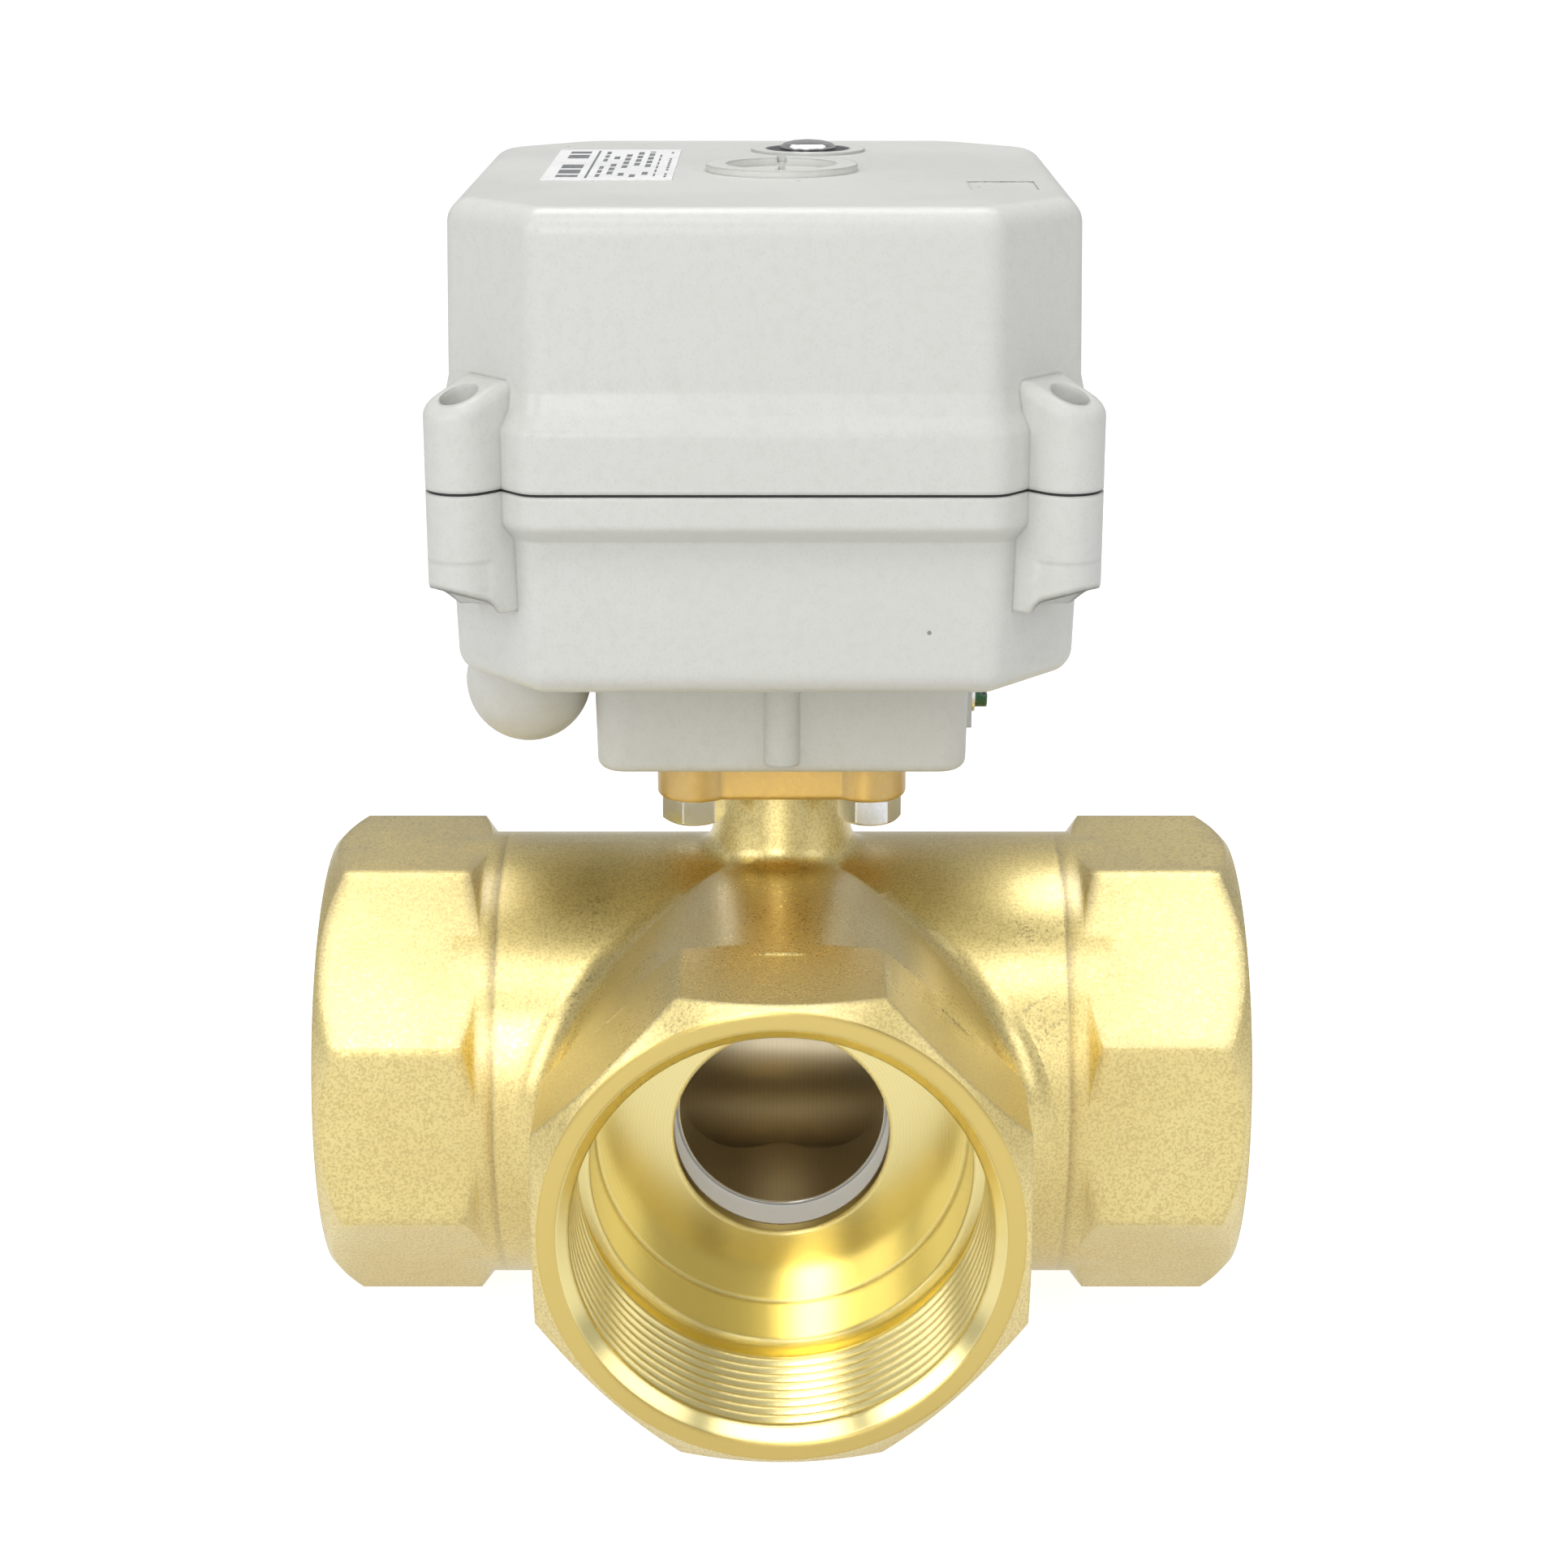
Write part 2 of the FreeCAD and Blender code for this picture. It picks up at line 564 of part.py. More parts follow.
def upper_housing():
    outside = softened(shell_outside(), 3.4, level_edge(TOP_Z))
    shell = joined([outside] + [lug(x, y) for x, y in lug_places()])
    shell = split(less(shell, [shell_inside()]), True)
    gx, gy = gear_2_place()
    dial_ring = ring(DIAL_R + 3.0, DIAL_R + RUN, TOP_Z - 1, TOP_Z + 1.0)
    notch = block(0, 0, 1.2, 2 * (DIAL_R + 1.9), TOP_Z + 0.2, TOP_Z + 2)
    cap_ring = ring(8.5, 6.3, TOP_Z - 1, TOP_Z + 0.4, gx, gy)
    relief = block(HOUSING_X + 32, -PAD_D * 0.43, 9, 11, TOP_Z - 0.25, TOP_Z + 1)
    solid = joined([shell, dial_ring.cut(notch), cap_ring])
    holes = [cyl(SCREW_R, PART_Z - 1, TOP_Z, x, y) for x, y in lug_places()]
    dial_hole = cyl(DIAL_R + RUN, CEILING - 1, TOP_Z + 0.1)
    cap_hole = cyl(6.3, CEILING - 1, TOP_Z + 2, gx, gy)
    return less(solid, holes + [dial_hole, cap_hole, relief])


def housing_gasket():
    radii = housing_radii(0.0)
    low, high = PART_Z - GASKET_T / 2, PART_Z + GASKET_T / 2
    outer = Part.Face(rounded(plan(RIM - 0.25), radii, low)).extrude(V(0, 0, GASKET_T))
    inner = Part.Face(rounded(plan(-WALL + 0.2), radii, PART_Z - 1)).extrude(V(0, 0, 2))
    flats = [lug_post(x, y, LUG_R - 0.25, low, high) for x, y in lug_places()]
    solid = joined([outer] + flats)
    holes = [cyl(SCREW_R + 0.2, PART_Z - 1, PART_Z + 1, x, y) for x, y in lug_places()]
    return less(solid, [inner] + holes)


def cover_screws():
    screws = []
    for x, y in lug_places():
        head = cyl(SCREW_R * 1.7, PART_Z - 12.5, PART_Z - 9.05, x, y)
        socket = prism(regular(6, SCREW_R * 1.6, 0, x, y), PART_Z - 13, PART_Z - 10.5)
        shank = cyl(SCREW_R - 0.05, PART_Z - 9.05, PART_Z + 7.0, x, y)
        screws.append(head.fuse(shank).cut(socket))
    return group(screws)


# ---- Gear train ----
def gear_3_place():
    return toward(MOD_1 * (TEETH["output"] + TEETH["pinion_3"]) / 2, ANGLE_3)


def gear_2_place():
    distance = MOD_2 * (TEETH["wheel_3"] + TEETH["pinion_2"]) / 2
    return toward(distance, ANGLE_2, gear_3_place())


def motor_pinion_place():
    distance = MOD_3 * (TEETH["wheel_2"] + TEETH["motor"]) / 2
    return toward(distance, ANGLE_M, gear_2_place())


def mesh_phase(driver_teeth, driver_phase, teeth, direction):
    """Angle of one tooth that puts a gear in mesh with its driver."""
    share = (direction - driver_phase) * driver_teeth / 360.0
    return direction + 180.0 - 360.0 / teeth * (0.5 - share)


def phases():
    third = mesh_phase(TEETH["output"], 0.0, TEETH["pinion_3"], ANGLE_3)
    second = mesh_phase(TEETH["wheel_3"], 0.0, TEETH["pinion_2"], ANGLE_2)
    motor = mesh_phase(TEETH["wheel_2"], 0.0, TEETH["motor"], ANGLE_M)
    return {"output": 0.0, "pinion_3": third, "wheel_3": 0.0, "pinion_2": second,
            "wheel_2": 0.0, "motor": motor}


def tooth_half_angle(radius, pitch_r, module):
    base_r = pitch_r * math.cos(PRESSURE_ANGLE)
    local = math.acos(min(1.0, base_r / radius))
    thick = module * (math.pi / 2 - BACKLASH) / 2 / pitch_r
    involute = math.tan(PRESSURE_ANGLE) - PRESSURE_ANGLE
    return thick + involute - (math.tan(local) - local)


def gear(name, module, z0, z1, place):
    """Spur gear with involute flanks, one tooth centred on its phase."""
    teeth = TEETH[name]
    pitch_r = module * teeth / 2
    base_r = pitch_r * math.cos(PRESSURE_ANGLE)
    root_r = pitch_r - DEDENDUM * module
    tip_r = pitch_r + ADDENDUM * module
    low_r = max(base_r, root_r + 0.01 * module)
    radii = [low_r + (tip_r - low_r) * k / 4 for k in range(5)]
    points = []
    for k in range(teeth):
        middle = math.radians(phases()[name] + 360.0 * k / teeth)
        flank = [(root_r, tooth_half_angle(low_r, pitch_r, module))]
        flank += [(r, tooth_half_angle(r, pitch_r, module)) for r in radii]
        for r, a in flank:
            points.append((r, middle - a))
        for r, a in reversed(flank):
            points.append((r, middle + a))
    cx, cy = place
    return prism([(cx + r * math.cos(a), cy + r * math.sin(a)) for r, a in points], z0, z1)


PLATE_LOW = (level(2.0), level(3.6))
PLATE_HIGH = (level(21.0), level(22.6))


def output_shaft():
    lower = cyl(SHAFT_R, PAD_Z + 0.4, level(4.9))
    middle = cyl(SHAFT_R - 2, level(4.9), level(24.0))
    upper = cyl(SHAFT_R - 4, level(24.0), CEILING - 1.0)
    flat = box(SHAFT_R - 5.5, SHAFT_R, -10, 10, CEILING - 6.0, CEILING)
    socket = block(0, 0, STEM_SQUARE + 0.1, STEM_SQUARE + 0.1, PAD_Z - 1, PAD_Z + 10.0)
    return less(joined([lower, middle, upper]), [socket, flat])


def output_gear():
    wheel = gear("output", MOD_1, level(5.0), level(10.0), (0, 0))
    hub = cyl(SHAFT_R + 1.5, level(5.0), level(12.0))
    return wheel.fuse(hub).cut(cyl(SHAFT_R - 2 + SLIP, level(4.0), level(13.0)))


def shaft_bush_lower():
    sleeve = ring(SHAFT_R + 2.0 - SLIP, SHAFT_R + RUN, PAD_Z + 3.6, level(1.0))
    return sleeve


def shaft_seal():
    return ring(SHAFT_R + 2.0 - SLIP, SHAFT_R + RUN, PAD_Z + 0.6, PAD_Z + 3.5)


def shaft_bush_upper():
    sleeve = ring(SHAFT_R - SLIP, SHAFT_R - 2 + RUN, PLATE_HIGH[0], PLATE_HIGH[1] + 0.5)
    collar = ring(SHAFT_R + 1.2, SHAFT_R - 2 + RUN, PLATE_HIGH[0] - 0.9, PLATE_HIGH[0])
    return sleeve.fuse(collar)


def plate_outline(z0, z1):
    reach = [(-33, -23), (31, -23), (34.5, -12), (34.5, 24), (23, 41.5), (-18, 41.5), (-35.5, 30)]
    points = [(x * TRAIN, y * TRAIN) for x, y in reach]
    return Part.Face(rounded(points, 3.0 * TRAIN, z0)).extrude(V(0, 0, z1 - z0))


def gear_plate_lower():
    plate = plate_outline(*PLATE_LOW)
    g3, g2 = gear_3_place(), gear_2_place()
    tools = [cyl(SHAFT_R + GAP, *PLATE_LOW), cyl(2.0 + SLIP, *PLATE_LOW, *g3),
             cyl(2.5 + RUN, *PLATE_LOW, *g2)]
    tools += [cyl(1.6, *PLATE_LOW, x, y) for x, y in pillar_places()]
    return less(plate, tools)


def gear_plate_upper():
    plate = plate_outline(*PLATE_HIGH)
    g3, g2 = gear_3_place(), gear_2_place()
    tools = [cyl(SHAFT_R, *PLATE_HIGH), cyl(2.0 + SLIP, *PLATE_HIGH, *g3),
             cyl(2.5 + RUN, *PLATE_HIGH, *g2),
             cyl(4.2 * TRAIN, *PLATE_HIGH, *motor_pinion_place())]
    small = pillar_places() + motor_screw_places() + switch_screw_places() + board_places()
    tools += [cyl(1.6, *PLATE_HIGH, x, y) for x, y in small]
    return less(plate, tools)


def gear_plate_pillars():
    posts = []
    for x, y in pillar_places():
        post = cyl(3.0 * TRAIN, PLATE_LOW[1], PLATE_HIGH[0], x, y)
        stud = cyl(1.45, FLOOR_Z + 2.5, PLATE_LOW[1], x, y)
        posts.append(post.fuse(stud).cut(cyl(1.5, PLATE_HIGH[0] - 6, PLATE_HIGH[0] + 1, x, y)))
    return group(posts)


def pan_screw(x, y, seat_z, length, r=1.4):
    """Pan-head screw pointing down from its seat, with a slot in its head."""
    head = cyl(2.0 * r, seat_z, seat_z + 1.2 * r, x, y)
    head = softened(head, 0.4 * r, level_edge(seat_z + 1.2 * r))
    shank = cyl(r, seat_z - length, seat_z, x, y)
    slot = block(x, y, 5 * r, 0.5 * r, seat_z + 0.7 * r, seat_z + 2 * r)
    return head.fuse(shank).cut(slot)


def gear_plate_screws():
    return group(pan_screw(x, y, PLATE_HIGH[1], 6.0) for x, y in pillar_places())


def gear_axle_3():
    return cyl(2.0, PLATE_LOW[0], PLATE_HIGH[1], *gear_3_place())


def gear_3():
    place = gear_3_place()
    pinion = gear("pinion_3", MOD_1, level(4.5), level(11.0), place)
    wheel = gear("wheel_3", MOD_2, level(11.5), level(15.0), place)
    hub = cyl(3.6 * TRAIN, level(10.8), level(16.0), *place)
    bore = cyl(2.0 + RUN, level(4.0), level(17.0), *place)
    return joined([pinion, wheel, hub]).cut(bore)


def gear_2():
    place = gear_2_place()
    pinion = gear("pinion_2", MOD_2, level(11.0), level(15.6), place)
    wheel = gear("wheel_2", MOD_3, level(16.5), level(19.5), place)
    hub = cyl(3.4 * TRAIN, level(15.4), level(20.4), *place)
    bore = cyl(2.5 + SLIP, level(10.0), level(21.0), *place)
    return joined([pinion, wheel, hub]).cut(bore)


def override_shaft():
    place = gear_2_place()
    shaft = cyl(2.5, PLATE_LOW[0], CEILING - 1.2, *place)
    socket = prism(regular(6, 3.0, 0, *place), CEILING - 5.0, CEILING)
    return shaft.cut(socket)


def motor_pinion():
    place = motor_pinion_place()
    teeth = gear("motor", MOD_3, level(16.0), level(20.0), place)
    return teeth.cut(cyl(1.5 * TRAIN + SLIP, level(15.0), level(21.0), *place))


def motor_shaft():
    return cyl(1.5 * TRAIN, level(15.7), level(26.0), *motor_pinion_place())


def motor_place():
    return toward(4.2 * TRAIN, ANGLE_M, motor_pinion_place())


def motor_screw_places():
    return [toward(8.6 * TRAIN, a, motor_place()) for a in (5.0, -85.0)]


MOTOR_R = 12.0 * TRAIN


def motor():
    place = motor_place()
    case = cyl(MOTOR_R, PLATE_HIGH[1], level(35.0), *place)
    can = cyl(MOTOR_R - 0.8, level(35.0), level(52.0), *place)
    end = cyl(4.0 * TRAIN, level(52.0), level(54.0), *place)
    tag = block(place[0], place[1] + MOTOR_R * 0.55, 4.0, 0.6, level(52.0), level(55.5))
    shaft_hole = cyl(1.5 * TRAIN + RUN, PLATE_HIGH[1] - 1, level(26.5), *motor_pinion_place())
    screws = [cyl(1.5, PLATE_HIGH[1] - 1, PLATE_HIGH[1] + 4.5, x, y) for x, y in motor_screw_places()]
    return less(joined([case, can, end, tag]), [shaft_hole] + screws)


def motor_screws():
    screws = []
    for x, y in motor_screw_places():
        head = cyl(2.4, PLATE_HIGH[0] - 1.4, PLATE_HIGH[0], x, y)
        shank = cyl(1.4, PLATE_HIGH[0], PLATE_HIGH[1] + 4.0, x, y)
        slot = block(x, y, 6, 0.6, PLATE_HIGH[0] - 2, PLATE_HIGH[0] - 0.9)
        screws.append(head.fuse(shank).cut(slot))
    return group(screws)


# ---- Cams and limit switches ----
CAM_R = 11.8 * TRAIN
LOBE_R = 13.7 * TRAIN
SWITCH_SIZE = (10.2 * TRAIN, 19.8 * TRAIN, 6.4 * BAY)
SWITCH_X = -25.0 * TRAIN
ROLLER_X = -(LOBE_R + 2.3)
LEVER_Y = -9.0 * TRAIN
LEVER_X = ROLLER_X - 2.6
BRACKET_T = 1.8


def cam(z0, z1, lobe_angle):
    """Disc with one narrow lobe that presses a switch lever."""
    outline = [(CAM_R, a) for a in range(24, 337, 12)]
    outline += [(LOBE_R, -4), (LOBE_R, 0), (LOBE_R, 4)]
    points = [toward(r, a + lobe_angle) for r, a in outline]
    bore_r = SHAFT_R - 4 + SLIP
    disc = prism(points, z0, z1).cut(cyl(bore_r, z0 - 1, z1 + 1))
    hole = Part.makeCylinder(1.3, 2 * CAM_R, V(0, 0, (z0 + z1) / 2), V(0, -1, 0))
    return disc.cut(turned(hole, lobe_angle - 90))


CAM_OPEN = (level(26.1), level(29.5))
CAM_CLOSED = (level(32.9), level(36.3))


def cam_screws():
    screws = []
    for (z0, z1), lobe_angle in ((CAM_OPEN, 180), (CAM_CLOSED, 90)):
        start = SHAFT_R - 3.9
        screw = Part.makeCylinder(1.25, CAM_R - start - 1.5, V(0, -start, (z0 + z1) / 2), V(0, -1, 0))
        screws.append(turned(screw, lobe_angle - 90))
    return group(screws)


def switch_levels():
    low = PLATE_HIGH[1] + BRACKET_T
    return [(low, low + SWITCH_SIZE[2]), (low + 6.8 * BAY, low + 6.8 * BAY + SWITCH_SIZE[2])]


def switch_screw_places():
    return [(SWITCH_X - 1.5 * TRAIN, y * TRAIN) for y in (-4.75, 4.75)]


def switch_bracket():
    w, d, _ = SWITCH_SIZE
    base = block(SWITCH_X, 0, w, d + 3, PLATE_HIGH[1], PLATE_HIGH[1] + BRACKET_T)
    return less(base, [cyl(1.5, level(20), level(30), x, y) for x, y in switch_screw_places()])


def limit_switch(index):
    w, d, _ = SWITCH_SIZE
    z0, z1 = switch_levels()[index]
    case = block(SWITCH_X, 0, w, d, z0, z1)
    button = block(SWITCH_X + w / 2, 0, 0.8, 2.2, z0 + 1.6, z1 - 1.6)
    pins = [block(SWITCH_X - w / 2 - 1.5, y * TRAIN, 3.4, 0.6, z0 + 1.7, z1 - 1.7) for y in (-8, 0, 8)]
    holes = [cyl(1.5, z0 - 1, z1 + 1, x, y) for x, y in switch_screw_places()]
    return less(joined([case, button] + pins), holes)


def switch_screws():
    top = switch_levels()[1][1]
    length = top - PLATE_HIGH[0] - 0.2
    return group(pan_screw(x, y, top, length, 1.35) for x, y in switch_screw_places())


def lever(index):
    """Spring arm with a roller, hinged beside the switch button."""
    z0, z1 = switch_levels()[index]
    middle = (z0 + z1) / 2
    low, high = middle - 1.5, middle + 1.5
    arm = box(LEVER_X - 0.2, LEVER_X + 0.2, LEVER_Y, 2.6, low, high)
    cheek = box(LEVER_X - 0.2, ROLLER_X + 0.4, -0.6, 0.6, low, high)
    roller = cyl(2.0, low, high, ROLLER_X, 0)
    eye = cyl(0.6, low, high, LEVER_X, LEVER_Y)
    solid = joined([arm, cheek, roller, eye])
    return solid if index == 0 else turned(solid, -LEVER_SWING, LEVER_X, LEVER_Y)


# ---- Circuit board ----
BOARD_Z = level(40.0)
BOARD = (-30.0 * TRAIN, 27.0 * TRAIN, -39.0 * TRAIN, -13.0 * TRAIN)


def board_places():
    return [(x * TRAIN, -20.5 * TRAIN) for x in (-18.0, 18.0)]


def circuit_board():
    x0, x1, y0, y1 = BOARD
    board = box(x0, x1, y0, y1, BOARD_Z, BOARD_Z + 1.6)
    return less(board, [cyl(1.6, BOARD_Z - 1, BOARD_Z + 3, x, y) for x, y in board_places()])


def board_pillars():
    posts = []
    for x, y in board_places():
        post = prism(regular(6, 5.0, 0, x, y), PLATE_HIGH[1], BOARD_Z)
        stud = cyl(1.45, PLATE_HIGH[0] + 0.1, PLATE_HIGH[1], x, y)
        posts.append(post.fuse(stud).cut(cyl(1.5, BOARD_Z - 6, BOARD_Z + 1, x, y)))
    return group(posts)


def board_screws():
    return group(pan_screw(x, y, BOARD_Z + 1.6, 6.0) for x, y in board_places())


def terminal_block():
    z0 = BOARD_Z + 1.6
    x0, y0 = BOARD[0] + 3 * TRAIN, BOARD[2] + 1.5 * TRAIN
    pitch = 5.0 * TRAIN
    body = box(x0, x0 + 5 * pitch, y0, y0 + 8 * TRAIN, z0, z0 + 9 * BAY)
    tools = []
    for k in range(5):
        x = x0 + (k + 0.5) * pitch
        tools.append(cyl(1.6 * TRAIN, z0 + 6 * BAY, z0 + 10 * BAY, x, y0 + 4.5 * TRAIN))
        tools.append(block(x, y0, 3 * TRAIN, 5 * TRAIN, z0 + 1.5 * BAY, z0 + 4.5 * BAY))
    return less(body, tools)


def board_components():
    z0 = BOARD_Z + 1.6
    parts = [box(6 * TRAIN, 20 * TRAIN, -37 * TRAIN, -26 * TRAIN, z0, z0 + 10 * BAY),
             cyl(3.5 * TRAIN, z0, z0 + 12 * BAY, 0, -24 * TRAIN),
             cyl(2.5 * TRAIN, z0, z0 + 8 * BAY, 10 * TRAIN, -18 * TRAIN),
             block(-24 * TRAIN, -22 * TRAIN, 4 * TRAIN, 8 * TRAIN, z0, z0 + 3 * BAY),
             block(-8 * TRAIN, -18 * TRAIN, 7 * TRAIN, 5 * TRAIN, z0, z0 + 2.2 * BAY)]
    return group(parts)


# ---- Top of the housing ----
def indicator_dial():
    disc = cyl(DIAL_R, TOP_Z - 1.9, TOP_Z - 0.1)
    skirt = cyl(SHAFT_R - 1.6, CEILING - 5.5, TOP_Z - 1.9)
    socket = cyl(SHAFT_R - 4 + SLIP, CEILING - 6.0, CEILING - 0.9)
    flat = box(SHAFT_R - 5.5 + 0.05, SHAFT_R - 1.0, -10, 10, CEILING - 6.0, CEILING - 0.9)
    line = block(0, 0, 0.9, 2 * DIAL_R - 1.0, TOP_Z - 0.6, TOP_Z)
    return disc.fuse(skirt).cut(socket.cut(flat)).cut(line)


def indicator_seal():
    return ring(SHAFT_R + 1.2, SHAFT_R - 1.6 + RUN, CEILING - 1.6, CEILING - 0.05)


def override_bush():
    place = gear_2_place()
    top = ring(6.15, 3.1 + SLIP, CEILING, TOP_Z + 0.3, *place)
    lip = ring(7.6, 3.1 + SLIP, CEILING - 1.0, CEILING, *place)
    return top.fuse(lip)


def override_cap():
    x, y = gear_2_place()
    plug_low = CEILING + 0.3
    dome_z = TOP_Z + 0.35
    profile = [(0, plug_low), (2.9, plug_low), (2.9, dome_z), (4.15, dome_z), (4.15, dome_z + 0.4),
               (3.6, dome_z + 0.8), (2.5, dome_z + 1.1), (1.2, dome_z + 1.25), (0, dome_z + 1.3)]
    cap = spun(profile, V(x, y, 0))
    groove = ring(4.0, 2.3, CEILING + 1.0, CEILING + 2.2, x, y)
    return cap.cut(groove)


def override_cap_seal():
    x, y = gear_2_place()
    return Part.makeTorus(2.62, 0.3, V(x, y, CEILING + 1.6))


def rating_label():
    x1 = HOUSING_X - 12.8
    y0 = -HOUSING_D * 0.141
    return box(x1 - 18, x1, y0, y0 + 42, TOP_Z, TOP_Z + 0.15)


# ---- Cable gland and earth screw ----
def along_y(r, y0, y1):
    return Part.makeCylinder(r, y1 - y0, V(CABLE_X, y0, CABLE_Z), Y_AXIS)


def hex_along_y(across, y0, y1):
    solid = prism(regular(6, across, 0), 0, y1 - y0)
    solid.rotate(V(0, 0, 0), X_AXIS, -90)
    solid.translate(V(CABLE_X, y0, CABLE_Z))
    return solid


def cable_gland():
    shank = along_y(CABLE_BORE - SLIP, CABLE_END - 7, CABLE_END)
    body = hex_along_y(GLAND_AF, CABLE_END, CABLE_END + 4.0)
    tail = along_y(5.6, CABLE_END + 4, CABLE_END + 8.5)
    way = along_y(4.5, CABLE_END - 8, CABLE_END + 9)
    return joined([shank, body, tail]).cut(way)


def gland_seal():
    tube = along_y(4.45, CABLE_END + 2.0, CABLE_END + 9.0)
    return tube.cut(along_y(3.0, CABLE_END, CABLE_END + 12))


def gland_nut():
    nut = hex_along_y(GLAND_AF, CABLE_END + 4.3, CABLE_END + 9.6)
    crown = along_y(6.4, CABLE_END + 9.6, CABLE_END + 11.5)
    inner = along_y(5.7, CABLE_END + 4, CABLE_END + 9.1)
    mouth = along_y(3.6, CABLE_END + 9, CABLE_END + 12)
    return joined([nut, crown]).cut(inner).cut(mouth)


def earth_washer():
    disc = Part.makeCylinder(EARTH_R + 0.7, 0.6, EARTH, X_AXIS)
    return disc.cut(Part.makeCylinder(1.5, 2, EARTH - X_AXIS, X_AXIS))


def earth_screw():
    head = Part.makeCylinder(EARTH_R, 1.8, EARTH + X_AXIS * 0.6, X_AXIS)
    shank = Part.makeCylinder(1.45, 6.0, EARTH - X_AXIS * 5.4, X_AXIS)
    slot = box(EARTH.x + 1.6, EARTH.x + 4, EARTH.y - 5, EARTH.y + 5, EARTH.z - 0.4, EARTH.z + 0.4)
    return head.fuse(shank).cut(slot)


# ---- Every piece, by name ----
NODES = {
    "valve_body": valve_body,
    "end_connector_left": lambda: end_connector("left"),
    "end_connector_right": lambda: end_connector("right"),
    "connector_seal_left": lambda: connector_seal("left"),
    "connector_seal_right": lambda: connector_seal("right"),
    "seat_left": lambda: seat(X_AXIS, -1),
    "seat_right": lambda: seat(X_AXIS, 1),
    "seat_front": lambda: seat(Y_AXIS, -1),
    "seat_rear": lambda: seat(Y_AXIS, 1),
    "ball": ball,
    "stem": stem,
    "stem_thrust_washer": stem_thrust_washer,
    "stem_o_rings": stem_o_rings,
    "flange_bolts": flange_bolts,
    "lower_housing": lower_housing,
    "upper_housing": upper_housing,
    "housing_gasket": housing_gasket,
    "cover_screws": cover_screws,
    "shaft_bush_lower": shaft_bush_lower,
    "shaft_seal": shaft_seal,
    "shaft_bush_upper": shaft_bush_upper,
    "gear_plate_lower": gear_plate_lower,
    "gear_plate_upper": gear_plate_upper,
    "gear_plate_pillars": gear_plate_pillars,
    "gear_plate_screws": gear_plate_screws,
    "gear_axle_3": gear_axle_3,
    "output_shaft": output_shaft,
    "output_gear": output_gear,
    "gear_3": gear_3,
    "gear_2": gear_2,
    "override_shaft": override_shaft,
    "motor": motor,
    "motor_screws": motor_screws,
    "motor_shaft": motor_shaft,
    "motor_pinion": motor_pinion,
    "cam_open": lambda: cam(*CAM_OPEN, 180),
    "cam_closed": lambda: cam(*CAM_CLOSED, 90),
    "cam_screws": cam_screws,
    "switch_bracket": switch_bracket,
    "limit_switch_open": lambda: limit_switch(0),
    "limit_switch_closed": lambda: limit_switch(1),
    "switch_screws": switch_screws,
    "lever_open": lambda: lever(0),
    "lever_closed": lambda: lever(1),
    "circuit_board": circuit_board,
    "board_pillars": board_pillars,
    "board_screws": board_screws,
    "terminal_block": terminal_block,
    "board_components": board_components,
    "indicator_dial": indicator_dial,
    "indicator_seal": indicator_seal,
    "override_bush": override_bush,
    "override_cap": override_cap,
    "override_cap_seal": override_cap_seal,
    "rating_label": rating_label,
    "cable_gland": cable_gland,
    "gland_seal": gland_seal,
    "gland_nut": gland_nut,
    "earth_washer": earth_washer,
    "earth_screw": earth_screw,
}


def main():
    os.makedirs("parts", exist_ok=True)
    for name, make in NODES.items():
        make().exportStep("parts/" + name + ".step")


main()
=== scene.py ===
"""Looks of a motorised three-way zone valve, built round its CAD frame.

A brass three-way ball valve carries a geared electric actuator in a powder
coated die-cast housing. The CAD nodes keep their shapes and get procedural
finishes. New pieces are added where a casting or an assembler adds detail:
rolled fillets in the crotch of the tee, the leads inside the housing, their
solder joints and a cable tie.

Lengths are metres, in the row frame of the CAD.
"""

import logging
import math
from dataclasses import dataclass, field, replace
from enum import Enum
from typing import Any, Callable, Sequence

import bmesh
import bpy
from mathutils import Matrix, Vector


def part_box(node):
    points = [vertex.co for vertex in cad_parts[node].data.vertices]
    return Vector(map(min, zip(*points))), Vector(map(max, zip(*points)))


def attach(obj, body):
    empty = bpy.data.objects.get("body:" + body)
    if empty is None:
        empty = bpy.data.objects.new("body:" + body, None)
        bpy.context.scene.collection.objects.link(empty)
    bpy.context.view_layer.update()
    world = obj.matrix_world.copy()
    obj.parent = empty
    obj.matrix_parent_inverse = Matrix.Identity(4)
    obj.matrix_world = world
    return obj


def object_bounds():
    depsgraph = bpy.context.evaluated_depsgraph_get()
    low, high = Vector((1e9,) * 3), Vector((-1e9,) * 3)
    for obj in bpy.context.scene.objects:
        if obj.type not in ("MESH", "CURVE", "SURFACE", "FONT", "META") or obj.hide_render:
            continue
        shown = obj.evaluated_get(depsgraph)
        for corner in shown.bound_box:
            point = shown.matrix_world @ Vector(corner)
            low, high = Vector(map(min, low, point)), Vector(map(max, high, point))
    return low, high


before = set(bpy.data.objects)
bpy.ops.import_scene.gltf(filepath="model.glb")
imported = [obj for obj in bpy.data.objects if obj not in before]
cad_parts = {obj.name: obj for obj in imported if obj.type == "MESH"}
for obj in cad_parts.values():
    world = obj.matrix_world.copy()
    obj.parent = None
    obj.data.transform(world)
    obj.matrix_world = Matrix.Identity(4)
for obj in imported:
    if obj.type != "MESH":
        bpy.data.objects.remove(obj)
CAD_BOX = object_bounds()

logging.basicConfig(level=logging.INFO, format="%(name)s: %(message)s")
LOG = logging.getLogger("zone_valve")

PORT_Z = 0.0333  # height of the port axes
SMOOTHEST = 0.03  # least roughness of any finish
SQUARE_ON = 0.9  # share of a normal along an axis for a face square to it
Colour = tuple[float, float, float]
Point = tuple[float, float, float]
Node = bpy.types.Node
Piece = bpy.types.Object
Socket = bpy.types.NodeSocket
Tree = bpy.types.NodeTree


